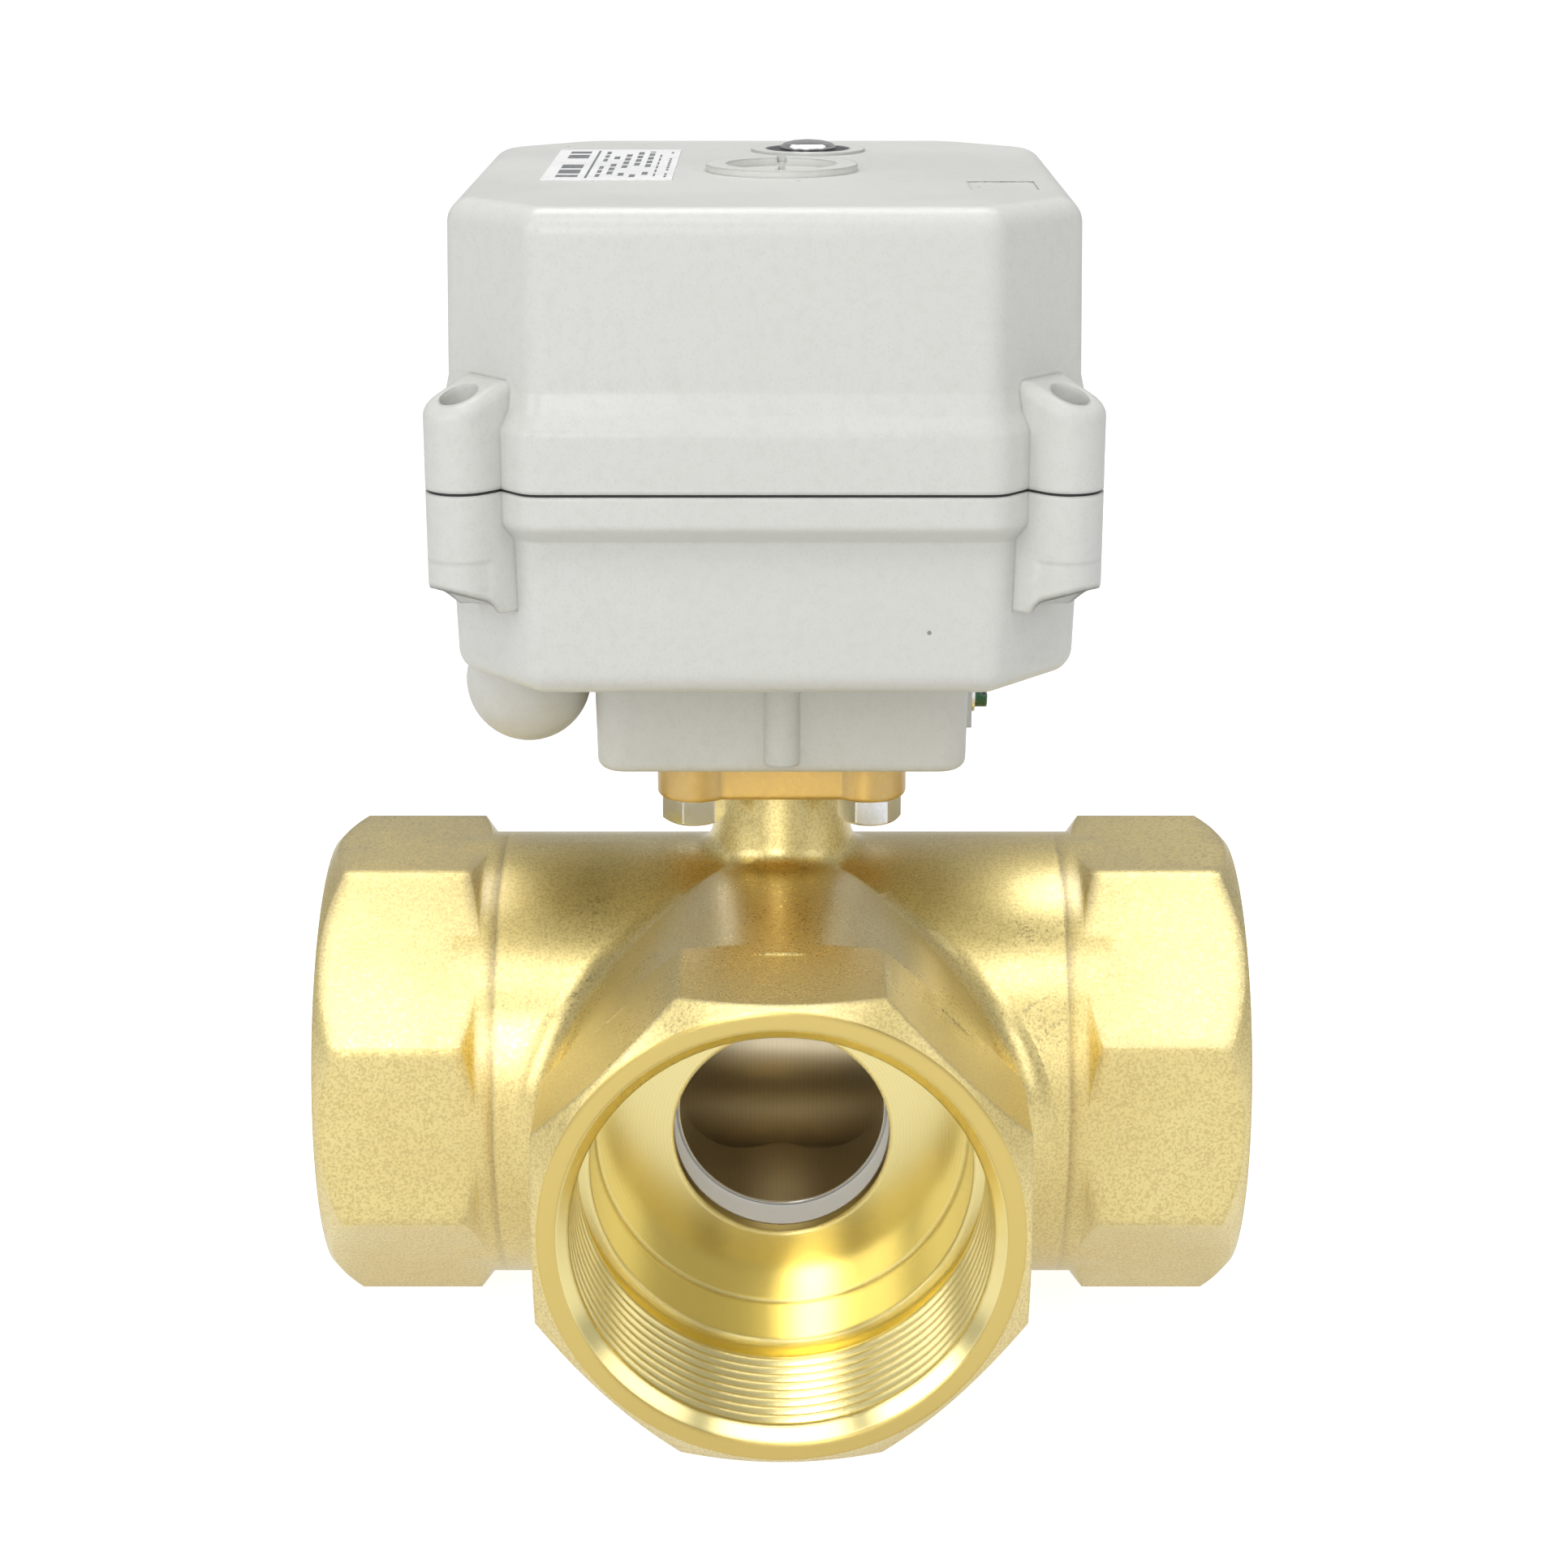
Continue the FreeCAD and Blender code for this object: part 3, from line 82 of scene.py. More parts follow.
class Body(Enum):
    """Bodies of the record that new pieces ride on."""

    FIXED = "valve_and_housing"


class Slot(Enum):
    """Material slots of the record."""

    BRASS = "brass_cast"
    STEEL = "plated_steel"
    RUBBER = "rubber"
    BLACK = "black_plastic"


# ---- Node trees ----
class Graph:
    """Adds nodes to one node tree and joins them."""

    def __init__(self, tree: Tree) -> None:
        """Keeps the tree and starts its layout at the left.

        Args:
            tree: The tree of a material, a world or a shader node group.
        """
        self.tree = tree
        self.column = 0

    def add(self, kind: str, inputs: dict[Any, Any] | None = None, **settings: Any) -> Node:
        """Adds a node.

        Args:
            kind: The node's type name.
            inputs: Values or sockets for its inputs, by name or index.
            **settings: Properties of the node.

        Returns:
            The new node.
        """
        node = self.tree.nodes.new(kind)
        for key, value in settings.items():
            setattr(node, key, value)
        for key, value in (inputs or {}).items():
            self.feed(node, key, value)
        self.column += 1
        node.location = (180 * self.column, -40 * (self.column % 5))
        return node

    def feed(self, node: Node, key: Any, value: Any) -> None:
        """Sets an input of a node to a value, or joins a socket to it."""
        if isinstance(value, Socket):
            self.tree.links.new(value, node.inputs[key])
        else:
            node.inputs[key].default_value = value

    def place(self) -> Socket:
        """Object coordinates, which are row-frame metres on every piece."""
        return self.add("ShaderNodeTexCoord").outputs["Object"]

    def math(self, operation: str, a: Any, b: Any = 0.0) -> Socket:
        """One math node's result."""
        return self.add("ShaderNodeMath", {0: a, 1: b}, operation=operation).outputs[0]

    def times(self, a: Any, b: Any) -> Socket:
        """The product of two values."""
        return self.math("MULTIPLY", a, b)

    def plus(self, a: Any, b: Any) -> Socket:
        """The sum of two values."""
        return self.math("ADD", a, b)

    def most(self, a: Any, b: Any) -> Socket:
        """The larger of two values."""
        return self.math("MAXIMUM", a, b)

    def between(self, value: Any, low: float, high: float) -> Socket:
        """1 where a value lies between two limits, else 0."""
        above = self.math("GREATER_THAN", value, low)
        return self.times(above, self.math("LESS_THAN", value, high))

    def choose(self, share: Any, a: Any, b: Any) -> Socket:
        """Number a turned to number b by a share."""
        return self.add("ShaderNodeMix", {0: share, 2: a, 3: b}).outputs[0]

    def height(self, at: Any = None) -> Socket:
        """How high a place is, which is the piece's own unless another is given."""
        return self.add("ShaderNodeSeparateXYZ", {0: at or self.place()}).outputs[2]

    def cells(self, scale: Any) -> Node:
        """A cell pattern, with scale in cells per metre."""
        return self.add("ShaderNodeTexVoronoi", {"Vector": self.place(), "Scale": scale})

    def chance(self, cells: Node, channel: int) -> Socket:
        """A number from 0 to 1 drawn for each cell of a pattern."""
        colour = cells.outputs["Color"]
        return self.add("ShaderNodeSeparateColor", {"Color": colour}).outputs[channel]

    def vector(self, operation: str, a: Any, b: Any = (0.0, 0.0, 0.0)) -> Node:
        """One vector math node."""
        return self.add("ShaderNodeVectorMath", {0: a, 1: b}, operation=operation)

    def line(self, value: Any, low: Any, high: Any, start: float = 0.0, end: float = 1.0,
             course: str = "LINEAR") -> Socket:
        """A value's place between low and high, clamped, on a line from start to end."""
        inputs = {"Value": value, "From Min": low, "From Max": high, "To Min": start, "To Max": end}
        return self.add("ShaderNodeMapRange", inputs, interpolation_type=course).outputs["Result"]

    def ramp(self, value: Any, low: Any, high: Any, start: float = 0.0, end: float = 1.0) -> Socket:
        """As a line, but eased at both ends."""
        return self.line(value, low, high, start, end, "SMOOTHSTEP")

    def mix(self, share: Any, a: Any, b: Any) -> Socket:
        """Colour a turned to colour b by a share."""
        node = self.add("ShaderNodeMix", data_type="RGBA", blend_type="MIX")
        for index, value in ((0, share), (6, rgba(a)), (7, rgba(b))):
            self.feed(node, index, value)
        return node.outputs[2]

    def noise(self, scale: Any, detail: float = 3.0, rough: float = 0.5) -> Socket:
        """Noise from 0 to 1, with scale in features per metre."""
        inputs = {"Vector": self.place(), "Scale": scale, "Detail": detail, "Roughness": rough}
        return self.add("ShaderNodeTexNoise", inputs).outputs[0]

    def rounded(self, radius: Any) -> Socket:
        """The surface's normal with its edges rounded."""
        return self.add("ShaderNodeBevel", {"Radius": radius}, samples=4).outputs[0]

    def group(self, effect: "Effect", inputs: dict[str, Any]) -> Node:
        """Places a shared effect with its own values."""
        node = self.add("ShaderNodeGroup", node_tree=EFFECTS.tree(effect))
        for key, value in inputs.items():
            self.feed(node, key, value)
        return node


def rgba(colour: Any) -> Any:
    """A colour of three numbers with an alpha of one added; a socket as it is."""
    if isinstance(colour, tuple) and len(colour) == 3:
        return (*colour, 1.0)
    return colour


class Effect(Enum):
    """Effects that more than one finish uses."""

    GRAIN = "fine_grain"
    PATCHES = "cloudy_patches"
    SPARKLE = "bead_sparkle"
    TURNED = "turned_marks"
    EDGES = "edge_wear"
    SPECKS = "dust_specks"


class Effects:
    """The shader node groups, each built by the method with its effect's name."""

    def __init__(self) -> None:
        """Starts with no group built."""
        self.trees: dict[Effect, Tree] = {}

    def tree(self, effect: Effect) -> Tree:
        """The group of an effect, built the first time that it is asked for."""
        if effect not in self.trees:
            self.trees[effect] = getattr(self, effect.name.lower())()
        return self.trees[effect]

    @staticmethod
    def start(effect: Effect, inputs: dict[str, Any],
              outputs: Sequence[str]) -> tuple[Graph, Node, Node]:
        """Opens a group with named sockets.

        Args:
            effect: The effect, which names the group.
            inputs: Each input's name and first value, a number or three.
            outputs: Names of the outputs, which are all plain values.

        Returns:
            The graph of the group, its input node and its output node.
        """
        tree = bpy.data.node_groups.new(effect.value, "ShaderNodeTree")
        for name, value in inputs.items():
            kind = "NodeSocketVector" if isinstance(value, tuple) else "NodeSocketFloat"
            socket = tree.interface.new_socket(name=name, in_out="INPUT", socket_type=kind)
            socket.default_value = value
        for name in outputs:
            tree.interface.new_socket(name=name, in_out="OUTPUT", socket_type="NodeSocketFloat")
        graph = Graph(tree)
        return graph, graph.add("NodeGroupInput"), graph.add("NodeGroupOutput")

    def grain(self) -> Tree:
        """Sharp fine grain with scattered pits."""
        g, given, out = self.start(Effect.GRAIN, {"Scale": 2000.0}, ["Grain", "Pits"])
        scale = given.outputs["Scale"]
        g.feed(out, "Grain", g.noise(scale, 3.0, 0.6))
        pits = g.cells(g.times(scale, 0.6))
        g.feed(out, "Pits", g.ramp(pits.outputs["Distance"], 0.0, 0.45))
        return g.tree

    def patches(self) -> Tree:
        """Large soft patches, as dull and bright areas of a casting."""
        inputs = {"Scale": 30.0, "Low": 0.35, "High": 0.65}
        g, given, out = self.start(Effect.PATCHES, inputs, ["Mask"])
        value = g.noise(given.outputs["Scale"], 4.0, 0.55)
        g.feed(out, "Mask", g.ramp(value, given.outputs["Low"], given.outputs["High"]))
        return g.tree

    def sparkle(self) -> Tree:
        """Scattered facets that catch the light, one cell in a few."""
        g, given, out = self.start(Effect.SPARKLE, {"Scale": 2200.0, "Share": 0.1}, ["Facet"])
        limit = g.math("SUBTRACT", 1.0, given.outputs["Share"])
        chance = g.chance(g.cells(given.outputs["Scale"]), 0)
        g.feed(out, "Facet", g.math("GREATER_THAN", chance, limit))
        return g.tree

    def turned(self) -> Tree:
        """Lathe marks about an axis, with the radius and the run along it."""
        inputs = {"Centre": (0.0, 0.0, 0.0), "Axis": (0.0, 0.0, 1.0), "Pitch": 0.0004}
        g, given, out = self.start(Effect.TURNED, inputs, ["Radius", "Along", "Rings", "Tracks"])
        axis, pitch = given.outputs["Axis"], given.outputs["Pitch"]
        away = g.vector("SUBTRACT", g.place(), given.outputs["Centre"]).outputs["Vector"]
        along = g.vector("DOT_PRODUCT", away, axis).outputs["Value"]
        spine = g.add("ShaderNodeVectorMath", {0: axis, "Scale": along}, operation="SCALE")
        across = g.vector("SUBTRACT", away, spine.outputs["Vector"]).outputs["Vector"]
        radius = g.vector("LENGTH", across).outputs["Value"]
        g.feed(out, "Radius", radius)
        g.feed(out, "Along", along)
        for name, run in (("Rings", radius), ("Tracks", along)):
            wobble = g.times(g.noise(220.0, 1.0), 0.6)
            turns = g.plus(g.math("DIVIDE", run, pitch), wobble)
            wave = g.math("SINE", g.times(turns, 2 * math.pi))
            uneven = g.times(wave, g.noise(900.0, 2.0))
            g.feed(out, name, g.plus(g.times(uneven, 0.5), 0.5))
        return g.tree

    def edges(self) -> Tree:
        """Where the surface turns sharply within a short reach."""
        g, given, out = self.start(Effect.EDGES, {"Reach": 0.0005, "Break": 600.0}, ["Mask"])
        rounded = g.rounded(given.outputs["Reach"])
        flat = g.add("ShaderNodeNewGeometry").outputs["Normal"]
        match = g.vector("DOT_PRODUCT", rounded, flat).outputs["Value"]
        turn = g.ramp(match, 0.995, 0.93)
        broken = g.ramp(g.noise(given.outputs["Break"], 3.0, 0.65), 0.35, 0.65, 0.25, 1.0)
        g.feed(out, "Mask", g.times(turn, broken))
        return g.tree

    def specks(self) -> Tree:
        """Very sparse small dark specks."""
        g, given, out = self.start(Effect.SPECKS, {"Scale": 90.0, "Size": 0.03}, ["Mask"])
        cells = g.cells(given.outputs["Scale"])
        few = g.math("GREATER_THAN", g.chance(cells, 2), 0.8)
        near = g.math("LESS_THAN", cells.outputs["Distance"], given.outputs["Size"])
        g.feed(out, "Mask", g.times(few, near))
        return g.tree


EFFECTS = Effects()


# ---- Finishes ----
@dataclass(frozen=True)
class Finish:
    """A surface finish with fine grain, cloudy patches and rounded edges.

    The bump is a height in metres, and the edge radius rounds the shading
    of sharp CAD edges, as a real edge is never quite sharp. The glow is
    painted light, an emission that stands for light that leaks through a
    milky plastic from behind.
    """

    name: str
    colour: Colour
    shade: Colour
    roughness: float = 0.5
    metallic: float = 0.0
    grain: float = 2000.0
    bump: float = 0.00002
    patches: float = 40.0
    edge: float = 0.0003
    worn: Colour | None = None
    coat: float = 0.0
    coat_index: float = 1.5
    coat_roughness: float = 0.12
    glow: float = 0.0
    gloss_spread: float = 0.15

    def material(self) -> bpy.types.Material:
        """The finish's material, made once."""
        made = bpy.data.materials.get(self.name)
        if made is None:
            made = bpy.data.materials.new(self.name)
            made.use_nodes = True
            made.diffuse_color = rgba(self.colour)
            graph = Graph(made.node_tree)
            shader = made.node_tree.nodes["Principled BSDF"]
            for key, value in (("Metallic", self.metallic), ("Coat Weight", self.coat),
                               ("Coat IOR", self.coat_index),
                               ("Coat Roughness", self.coat_roughness)):
                graph.feed(shader, key, value)
            self.paint(graph, shader)
        return made

    def paint(self, g: Graph, shader: Node) -> None:
        """Joins the finish's nodes to the shader.

        Args:
            g: The graph of the material.
            shader: Its Principled BSDF.
        """
        grain = self.fine_grain(g)
        patch = self.clouds(g)
        colour = g.mix(g.times(patch, 0.8), self.colour, self.shade)
        colour = g.mix(g.ramp(grain.outputs["Pits"], 0.0, 1.0, 0.75, 1.0), self.shade, colour)
        colour = self.wear(g, colour, self.edge * 1.5, 1.0)
        g.feed(shader, "Base Color", colour)
        if self.glow:
            g.feed(shader, "Emission Color", colour)
            g.feed(shader, "Emission Strength", self.glow)
        self.gloss(g, shader, grain.outputs["Grain"], patch)
        self.relief(g, shader, grain.outputs["Grain"])

    def clouds(self, g: Graph) -> Socket:
        """The finish's large soft patches."""
        return g.group(Effect.PATCHES, {"Scale": self.patches}).outputs["Mask"]

    def fine_grain(self, g: Graph) -> Node:
        """The finish's fine grain and pits."""
        return g.group(Effect.GRAIN, {"Scale": self.grain})

    def wear(self, g: Graph, colour: Socket, reach: float, share: float) -> Socket:
        """The colour with its edges rubbed to the worn colour, where there is one."""
        if not self.worn:
            return colour
        edge = g.group(Effect.EDGES, {"Reach": reach}).outputs["Mask"]
        return g.mix(g.times(edge, share), colour, self.worn)

    def gloss(self, g: Graph, shader: Node, grain: Any, patch: Any) -> None:
        """Feeds a roughness that varies with the grain and the patches."""
        spread = g.plus(g.times(grain, 0.6), g.times(patch, 0.4))
        low = max(self.roughness - self.gloss_spread / 2, SMOOTHEST)
        high = self.roughness + self.gloss_spread / 2
        g.feed(shader, "Roughness", g.ramp(spread, 0.25, 0.75, low, high))

    def relief(self, g: Graph, shader: Node, height: Any, depth: float | None = None) -> None:
        """Feeds the normal: a height over softly rounded edges."""
        inputs = {"Strength": 1.0, "Distance": depth or self.bump, "Height": height,
                  "Normal": g.rounded(self.edge)}
        g.feed(shader, "Normal", g.add("ShaderNodeBump", inputs).outputs[0])


@dataclass(frozen=True)
class PowderCoat(Finish):
    """Baked powder paint: orange peel, tiny craters, specks and handling marks."""

    peel: float = 420.0
    mottle: float = 700.0
    speck: Colour = (0.09, 0.085, 0.08)
    # Tan stain colour, which is also painted shade on the cable boss under the housing.
    stain_and_shade: Colour = (0.47, 0.41, 0.28)
    stain_and_shade_top: float = 0.108
    stain_and_shade_fade: float = 0.022
    stain_and_shade_side: float = -0.022
    stain_and_shade_strength: float = 0.42

    def paint(self, g: Graph, shader: Node) -> None:
        """Joins peel, grain, specks and low stains, which are partly painted shade, to the shader.
        """
        grain = self.fine_grain(g)
        peel = g.noise(self.peel, 2.0, 0.5)
        patch = self.clouds(g)
        mottle = g.ramp(g.times(grain.outputs["Pits"], g.noise(self.mottle, 2.0)), 0.0, 0.6)
        colour = g.mix(mottle, self.shade, self.colour)
        colour = g.mix(g.times(patch, 0.25), colour, self.shade)
        # Partly painted shade: the low stains darken the cable boss under the housing as well as
        # staining it.
        colour = g.mix(self.stains_and_shade(g), colour, self.stain_and_shade)
        speck = g.group(Effect.SPECKS, {}).outputs["Mask"]
        colour = g.mix(g.times(speck, 0.7), colour, self.speck)
        colour = self.wear(g, colour, self.edge * 1.4, 0.35)
        g.feed(shader, "Base Color", colour)
        self.gloss(g, shader, grain.outputs["Grain"], patch)
        height = g.plus(g.times(peel, 0.9), g.times(grain.outputs["Grain"], 0.45))
        self.relief(g, shader, height)

    def stains_and_shade(self, g: Graph) -> Any:
        """Faint tan stains where polish and dust gather low on the casting; they also paint the
        shade that falls on the cable boss under the housing.
        """
        place = g.add("ShaderNodeSeparateXYZ", {0: g.place()})
        low = g.ramp(place.outputs[2], self.stain_and_shade_top, self.stain_and_shade_top - self.stain_and_shade_fade)
        side = g.ramp(place.outputs[0], self.stain_and_shade_side, self.stain_and_shade_side - 0.006, 0.25, 1.0)
        broken = g.ramp(g.noise(95.0, 5.0, 0.65), 0.40, 0.72, 0.35, 1.0)
        return g.times(g.times(g.times(low, side), broken), self.stain_and_shade_strength)


@dataclass(frozen=True)
class CastBrass(Finish):
    """Bead-blasted brass with turned mouths and a rougher flange.

    Each port is bored on a lathe, so from its floor out to its face the
    surface inside the bore radius is bright and finely marked; the face
    itself takes a darker copy of the turned colour, which is painted shade.
    Above the flange height the casting is left coarse, in a darker colour
    that is partly painted shade under the housing. The hollow colour lies
    in the low spots of the blasted grain.
    """

    coat_index: float = 1.8
    coat_roughness: float = 0.3
    bore: float = 0.0306
    port_floor: float = 0.0295
    port_wall: float = 0.0325
    port_face: float = 0.0672
    axes: tuple[Point, ...] = ()
    flange_z: float = 0.0785
    turned: Colour = (0.95, 0.82, 0.38)
    ringed: Colour = (0.9215, 0.7954, 0.3686)
    shaded_face: Colour = (0.77, 0.59, 0.20)
    # Painted shade: a darker copy of the turned colour, for the port faces.
    hollow: Colour = (0.62, 0.47, 0.15)
    # Coarse cast colour; on the flange under the housing it is partly painted shade.
    coarse: Colour = (0.68, 0.46, 0.13)
    turned_roughness: float = 0.21
    ring_pitch: float = 0.0005
    wear_reach: float = 0.0005

    def paint(self, g: Graph, shader: Node) -> None:
        """Joins blasted, turned and coarse zones to the shader."""
        grain = self.fine_grain(g)
        patches = {"Scale": self.patches, "Low": 0.3, "High": 0.7}
        patch = g.group(Effect.PATCHES, patches).outputs["Mask"]
        machined, marks, faces = self.bores(g)
        flange = g.ramp(g.height(), self.flange_z - 0.001, self.flange_z)
        colour = g.mix(g.times(patch, 0.75), self.colour, self.shade)
        dulled = g.ramp(g.noise(260.0, 4.0, 0.7), 0.5, 0.75)
        colour = g.mix(g.times(dulled, 0.12), colour, self.coarse)
        colour = g.mix(g.ramp(grain.outputs["Pits"], 0.0, 1.0, 0.8, 1.0), self.shade, colour)
        low_spots = g.ramp(grain.outputs["Grain"], 0.36, 0.58, 0.7, 0.0)
        colour = g.mix(low_spots, colour, self.hollow)
        # Partly painted shade: the flange under the housing takes the darker coarse colour.
        colour = g.mix(flange, colour, self.coarse)
        colour = self.wear(g, colour, self.wear_reach, 0.5)
        turned = g.mix(g.ramp(marks, 0.3, 0.7), self.turned, self.ringed)
        g.feed(shader, "Base Color", g.mix(machined, colour, g.mix(faces, turned, self.shaded_face)))
        g.feed(shader, "Coat Weight", g.times(g.math("SUBTRACT", 1.0, machined), self.coat))
        g.feed(shader, "Roughness", self.dullness(g, patch, machined, flange))
        coarse = g.times(g.times(g.noise(800.0, 4.0, 0.7), 4.0), flange)
        blasted = g.plus(grain.outputs["Grain"], coarse)
        self.relief(g, shader, g.choose(machined, blasted, g.times(marks, 0.02)))

    def bores(self, g: Graph) -> tuple[Any, Any, Any]:
        """Masks of the turned ports and of their fine lathe marks.

        Returns:
            A mask that is 1 inside any port and on its face, the pattern of
            the marks, and a mask that is 1 on the faces alone.
        """
        zones, marks, faces = 0.0, 0.0, 0.0
        for axis in self.axes:
            inputs = {"Centre": (0.0, 0.0, PORT_Z), "Axis": axis, "Pitch": self.ring_pitch}
            turned = g.group(Effect.TURNED, inputs)
            out = turned.outputs["Along"]
            inside = g.math("LESS_THAN", turned.outputs["Radius"], self.bore)
            deep = g.math("GREATER_THAN", out, self.port_floor)
            at_face = g.math("GREATER_THAN", out, self.port_face)
            zones = g.most(zones, g.most(g.times(inside, deep), at_face))
            faces = g.most(faces, at_face)
            on_floor = g.math("LESS_THAN", out, self.port_wall)
            rings = g.times(turned.outputs["Rings"], g.most(on_floor, at_face))
            tracks = g.times(turned.outputs["Tracks"], g.math("SUBTRACT", 1.0, on_floor))
            marks = g.most(marks, g.most(rings, g.times(tracks, 0.5)))
        return zones, marks, faces

    def dullness(self, g: Graph, patch: Any, machined: Any, flange: Any) -> Socket:
        """The roughness of each zone, with facets that catch the light."""
        cells = {"Scale": self.grain * 0.9, "Share": 0.16}
        facet = g.group(Effect.SPARKLE, cells).outputs["Facet"]
        base = g.ramp(patch, 0.0, 1.0, self.roughness - 0.05, self.roughness + 0.06)
        base = g.math("SUBTRACT", base, g.times(facet, 0.10))
        return g.choose(machined, g.plus(base, g.times(flange, 0.1)), self.turned_roughness)


@dataclass(frozen=True)
class TurnedMetal(Finish):
    """Bare metal from a lathe: fine rings and tracks about an axis, smeared."""

    edge: float = 0.0002
    centre: Point = (0.0, 0.0, 0.0)
    axis: Point = (0.0, 0.0, 1.0)
    pitch: float = 0.0003
    ring_depth: float = 0.000004

    def paint(self, g: Graph, shader: Node) -> None:
        """Joins rings, tracks and smears to the shader."""
        lathe = {"Centre": self.centre, "Axis": self.axis, "Pitch": self.pitch}
        turned = g.group(Effect.TURNED, lathe)
        smear = self.clouds(g)
        rings = g.most(turned.outputs["Rings"], turned.outputs["Tracks"])
        colour = g.mix(g.times(smear, 0.5), self.colour, self.shade)
        colour = g.mix(g.times(rings, 0.15), colour, self.shade)
        colour = self.wear(g, colour, self.edge, 0.6)
        g.feed(shader, "Base Color", colour)
        self.gloss(g, shader, rings, smear)
        self.relief(g, shader, rings, self.ring_depth)


@dataclass(frozen=True)
class BoredBall(Finish):
    """A chromed sphere whose bores are left as turned, dull and a little brown, with painted shade
    darkening them towards the bottom.
    """

    centre: Point = (0.0, 0.0, 0.0)
    skin: float = 0.0271
    bored: Colour = (0.82, 0.73, 0.54)
    bored_painted_shade: Colour = (0.42, 0.35, 0.23)

    def paint(self, g: Graph, shader: Node) -> None:
        """Joins the chromed skin and the dull bores to the shader."""
        away = g.vector("SUBTRACT", g.place(), self.centre).outputs["Vector"]
        radius = g.vector("LENGTH", away).outputs["Value"]
        inside = g.math("LESS_THAN", radius, self.skin)
        lathe = {"Centre": self.centre, "Axis": (1.0, 0.0, 0.0), "Pitch": 0.0007}
        turned = g.group(Effect.TURNED, lathe)
        smear = self.clouds(g)
        skin = g.mix(g.times(smear, 0.5), self.colour, self.shade)
        # Painted shade: the bores darken towards the bottom of the ball.
        deep = g.ramp(g.height(away), 0.003, -0.009, 0.15, 0.85)
        marks = g.plus(g.times(turned.outputs["Tracks"], 0.1), deep)
        bored = g.mix(marks, self.bored, self.bored_painted_shade)
        g.feed(shader, "Base Color", g.mix(inside, skin, bored))
        grain = self.fine_grain(g).outputs["Grain"]
        polished = g.ramp(smear, 0.0, 1.0, 0.07, 0.13)
        dull = g.ramp(grain, 0.3, 0.7, 0.28, 0.34)
        g.feed(shader, "Roughness", g.choose(inside, polished, dull))
        self.relief(g, shader, g.times(grain, 0.5))


@dataclass(frozen=True)
class Printing:
    """One block of bars.

    Its band is the part of the label's width that it takes. The rows are
    counted per label width, 1 for a single thick bar, and the words per label
    length. The fill is the share of the words that is printed.
    """

    band: tuple[float, float]
    rows: float
    words: float
    fill: float


@dataclass(frozen=True)
class PrintedLabel(Finish):
    """White film with generic printed bars in place of any lettering.

    Long bars stand for a heading and short ones in rows for the lines
    beside it, some left blank, with a thin dark rule between them. Every
    place is a share of the label's width or length.
    """

    low: Point = (0.0, 0.0, 0.0)
    high: Point = (1.0, 1.0, 1.0)
    ink: Colour = (0.10, 0.11, 0.12)
    heading: Printing = Printing((0.10, 0.27), 1.0, 6.0, 0.85)
    lines: Printing = Printing((0.40, 0.86), 11.0, 8.0, 0.72)
    footer: Printing = Printing((0.91, 0.95), 24.0, 14.0, 0.8)

    def paint(self, g: Graph, shader: Node) -> None:
        """Joins the bars and the rule to the shader."""
        parts = g.add("ShaderNodeSeparateXYZ", {0: g.place()})
        across = g.line(parts.outputs[0], self.low[0], self.high[0])
        up = g.line(parts.outputs[1], self.low[1], self.high[1])
        ink = g.times(g.between(across, 0.325, 0.345), g.between(up, 0.04, 0.96))
        for printing in (self.heading, self.lines, self.footer):
            ink = g.most(ink, self.bars(g, across, up, printing))
        patch = self.clouds(g)
        film = g.mix(g.times(patch, 0.4), self.colour, self.shade)
        grain = self.fine_grain(g).outputs["Grain"]
        faded = g.times(ink, g.ramp(grain, 0.2, 0.6, 0.75, 1.0))
        g.feed(shader, "Base Color", g.mix(faded, film, self.ink))
        self.gloss(g, shader, grain, patch)
        self.relief(g, shader, grain)

    @staticmethod
    def bars(g: Graph, across: Any, up: Any, printing: Printing) -> Socket:
        """Rows of word-like bars that run up the label inside a band.

        Args:
            g: The graph of the material.
            across: Place across the label, from 0 to 1.
            up: Place along the label, from 0 to 1.
            printing: The band and how it is filled.

        Returns:
            A mask of the ink.
        """
        rows = g.times(across, printing.rows)
        row = g.math("FLOOR", rows)
        run = g.plus(g.times(up, printing.words), g.math("FRACT", g.times(row, 0.37)))
        cell = g.add("ShaderNodeCombineXYZ", {0: g.math("FLOOR", run), 1: row, 2: printing.rows})
        chance = g.add("ShaderNodeTexWhiteNoise", {"Vector": cell.outputs[0]},
                       noise_dimensions="3D").outputs["Value"]
        printed = g.math("LESS_THAN", chance, printing.fill)
        bar = g.between(g.math("FRACT", run), 0.1, 0.86)
        if printing.rows > 1:
            bar = g.times(bar, g.between(g.math("FRACT", rows), 0.28, 0.78))
        kept = g.times(g.between(across, *printing.band), g.between(up, 0.07, 0.93))
        return g.times(g.times(printed, bar), kept)


@dataclass(frozen=True)
class CircuitBoard(Finish):
    """Solder mask over raised copper tracks."""

    track: Colour = (0.03, 0.22, 0.09)

    def paint(self, g: Graph, shader: Node) -> None:
        """Joins tracks to the colour and the relief."""
        layout = {"Vector": g.place(), "Scale": 160.0, "Mortar Size": 0.035}
        bricks = g.add("ShaderNodeTexBrick", layout)
        track = g.times(bricks.outputs["Fac"], g.ramp(g.noise(60.0, 2.0), 0.4, 0.5))
        grain = self.fine_grain(g)
        patch = self.clouds(g)
        colour = g.mix(g.times(patch, 0.5), self.colour, self.shade)
        g.feed(shader, "Base Color", g.mix(track, colour, self.track))
        self.gloss(g, shader, grain.outputs["Grain"], patch)
        height = g.plus(track, g.times(grain.outputs["Grain"], 0.2))
        self.relief(g, shader, height)


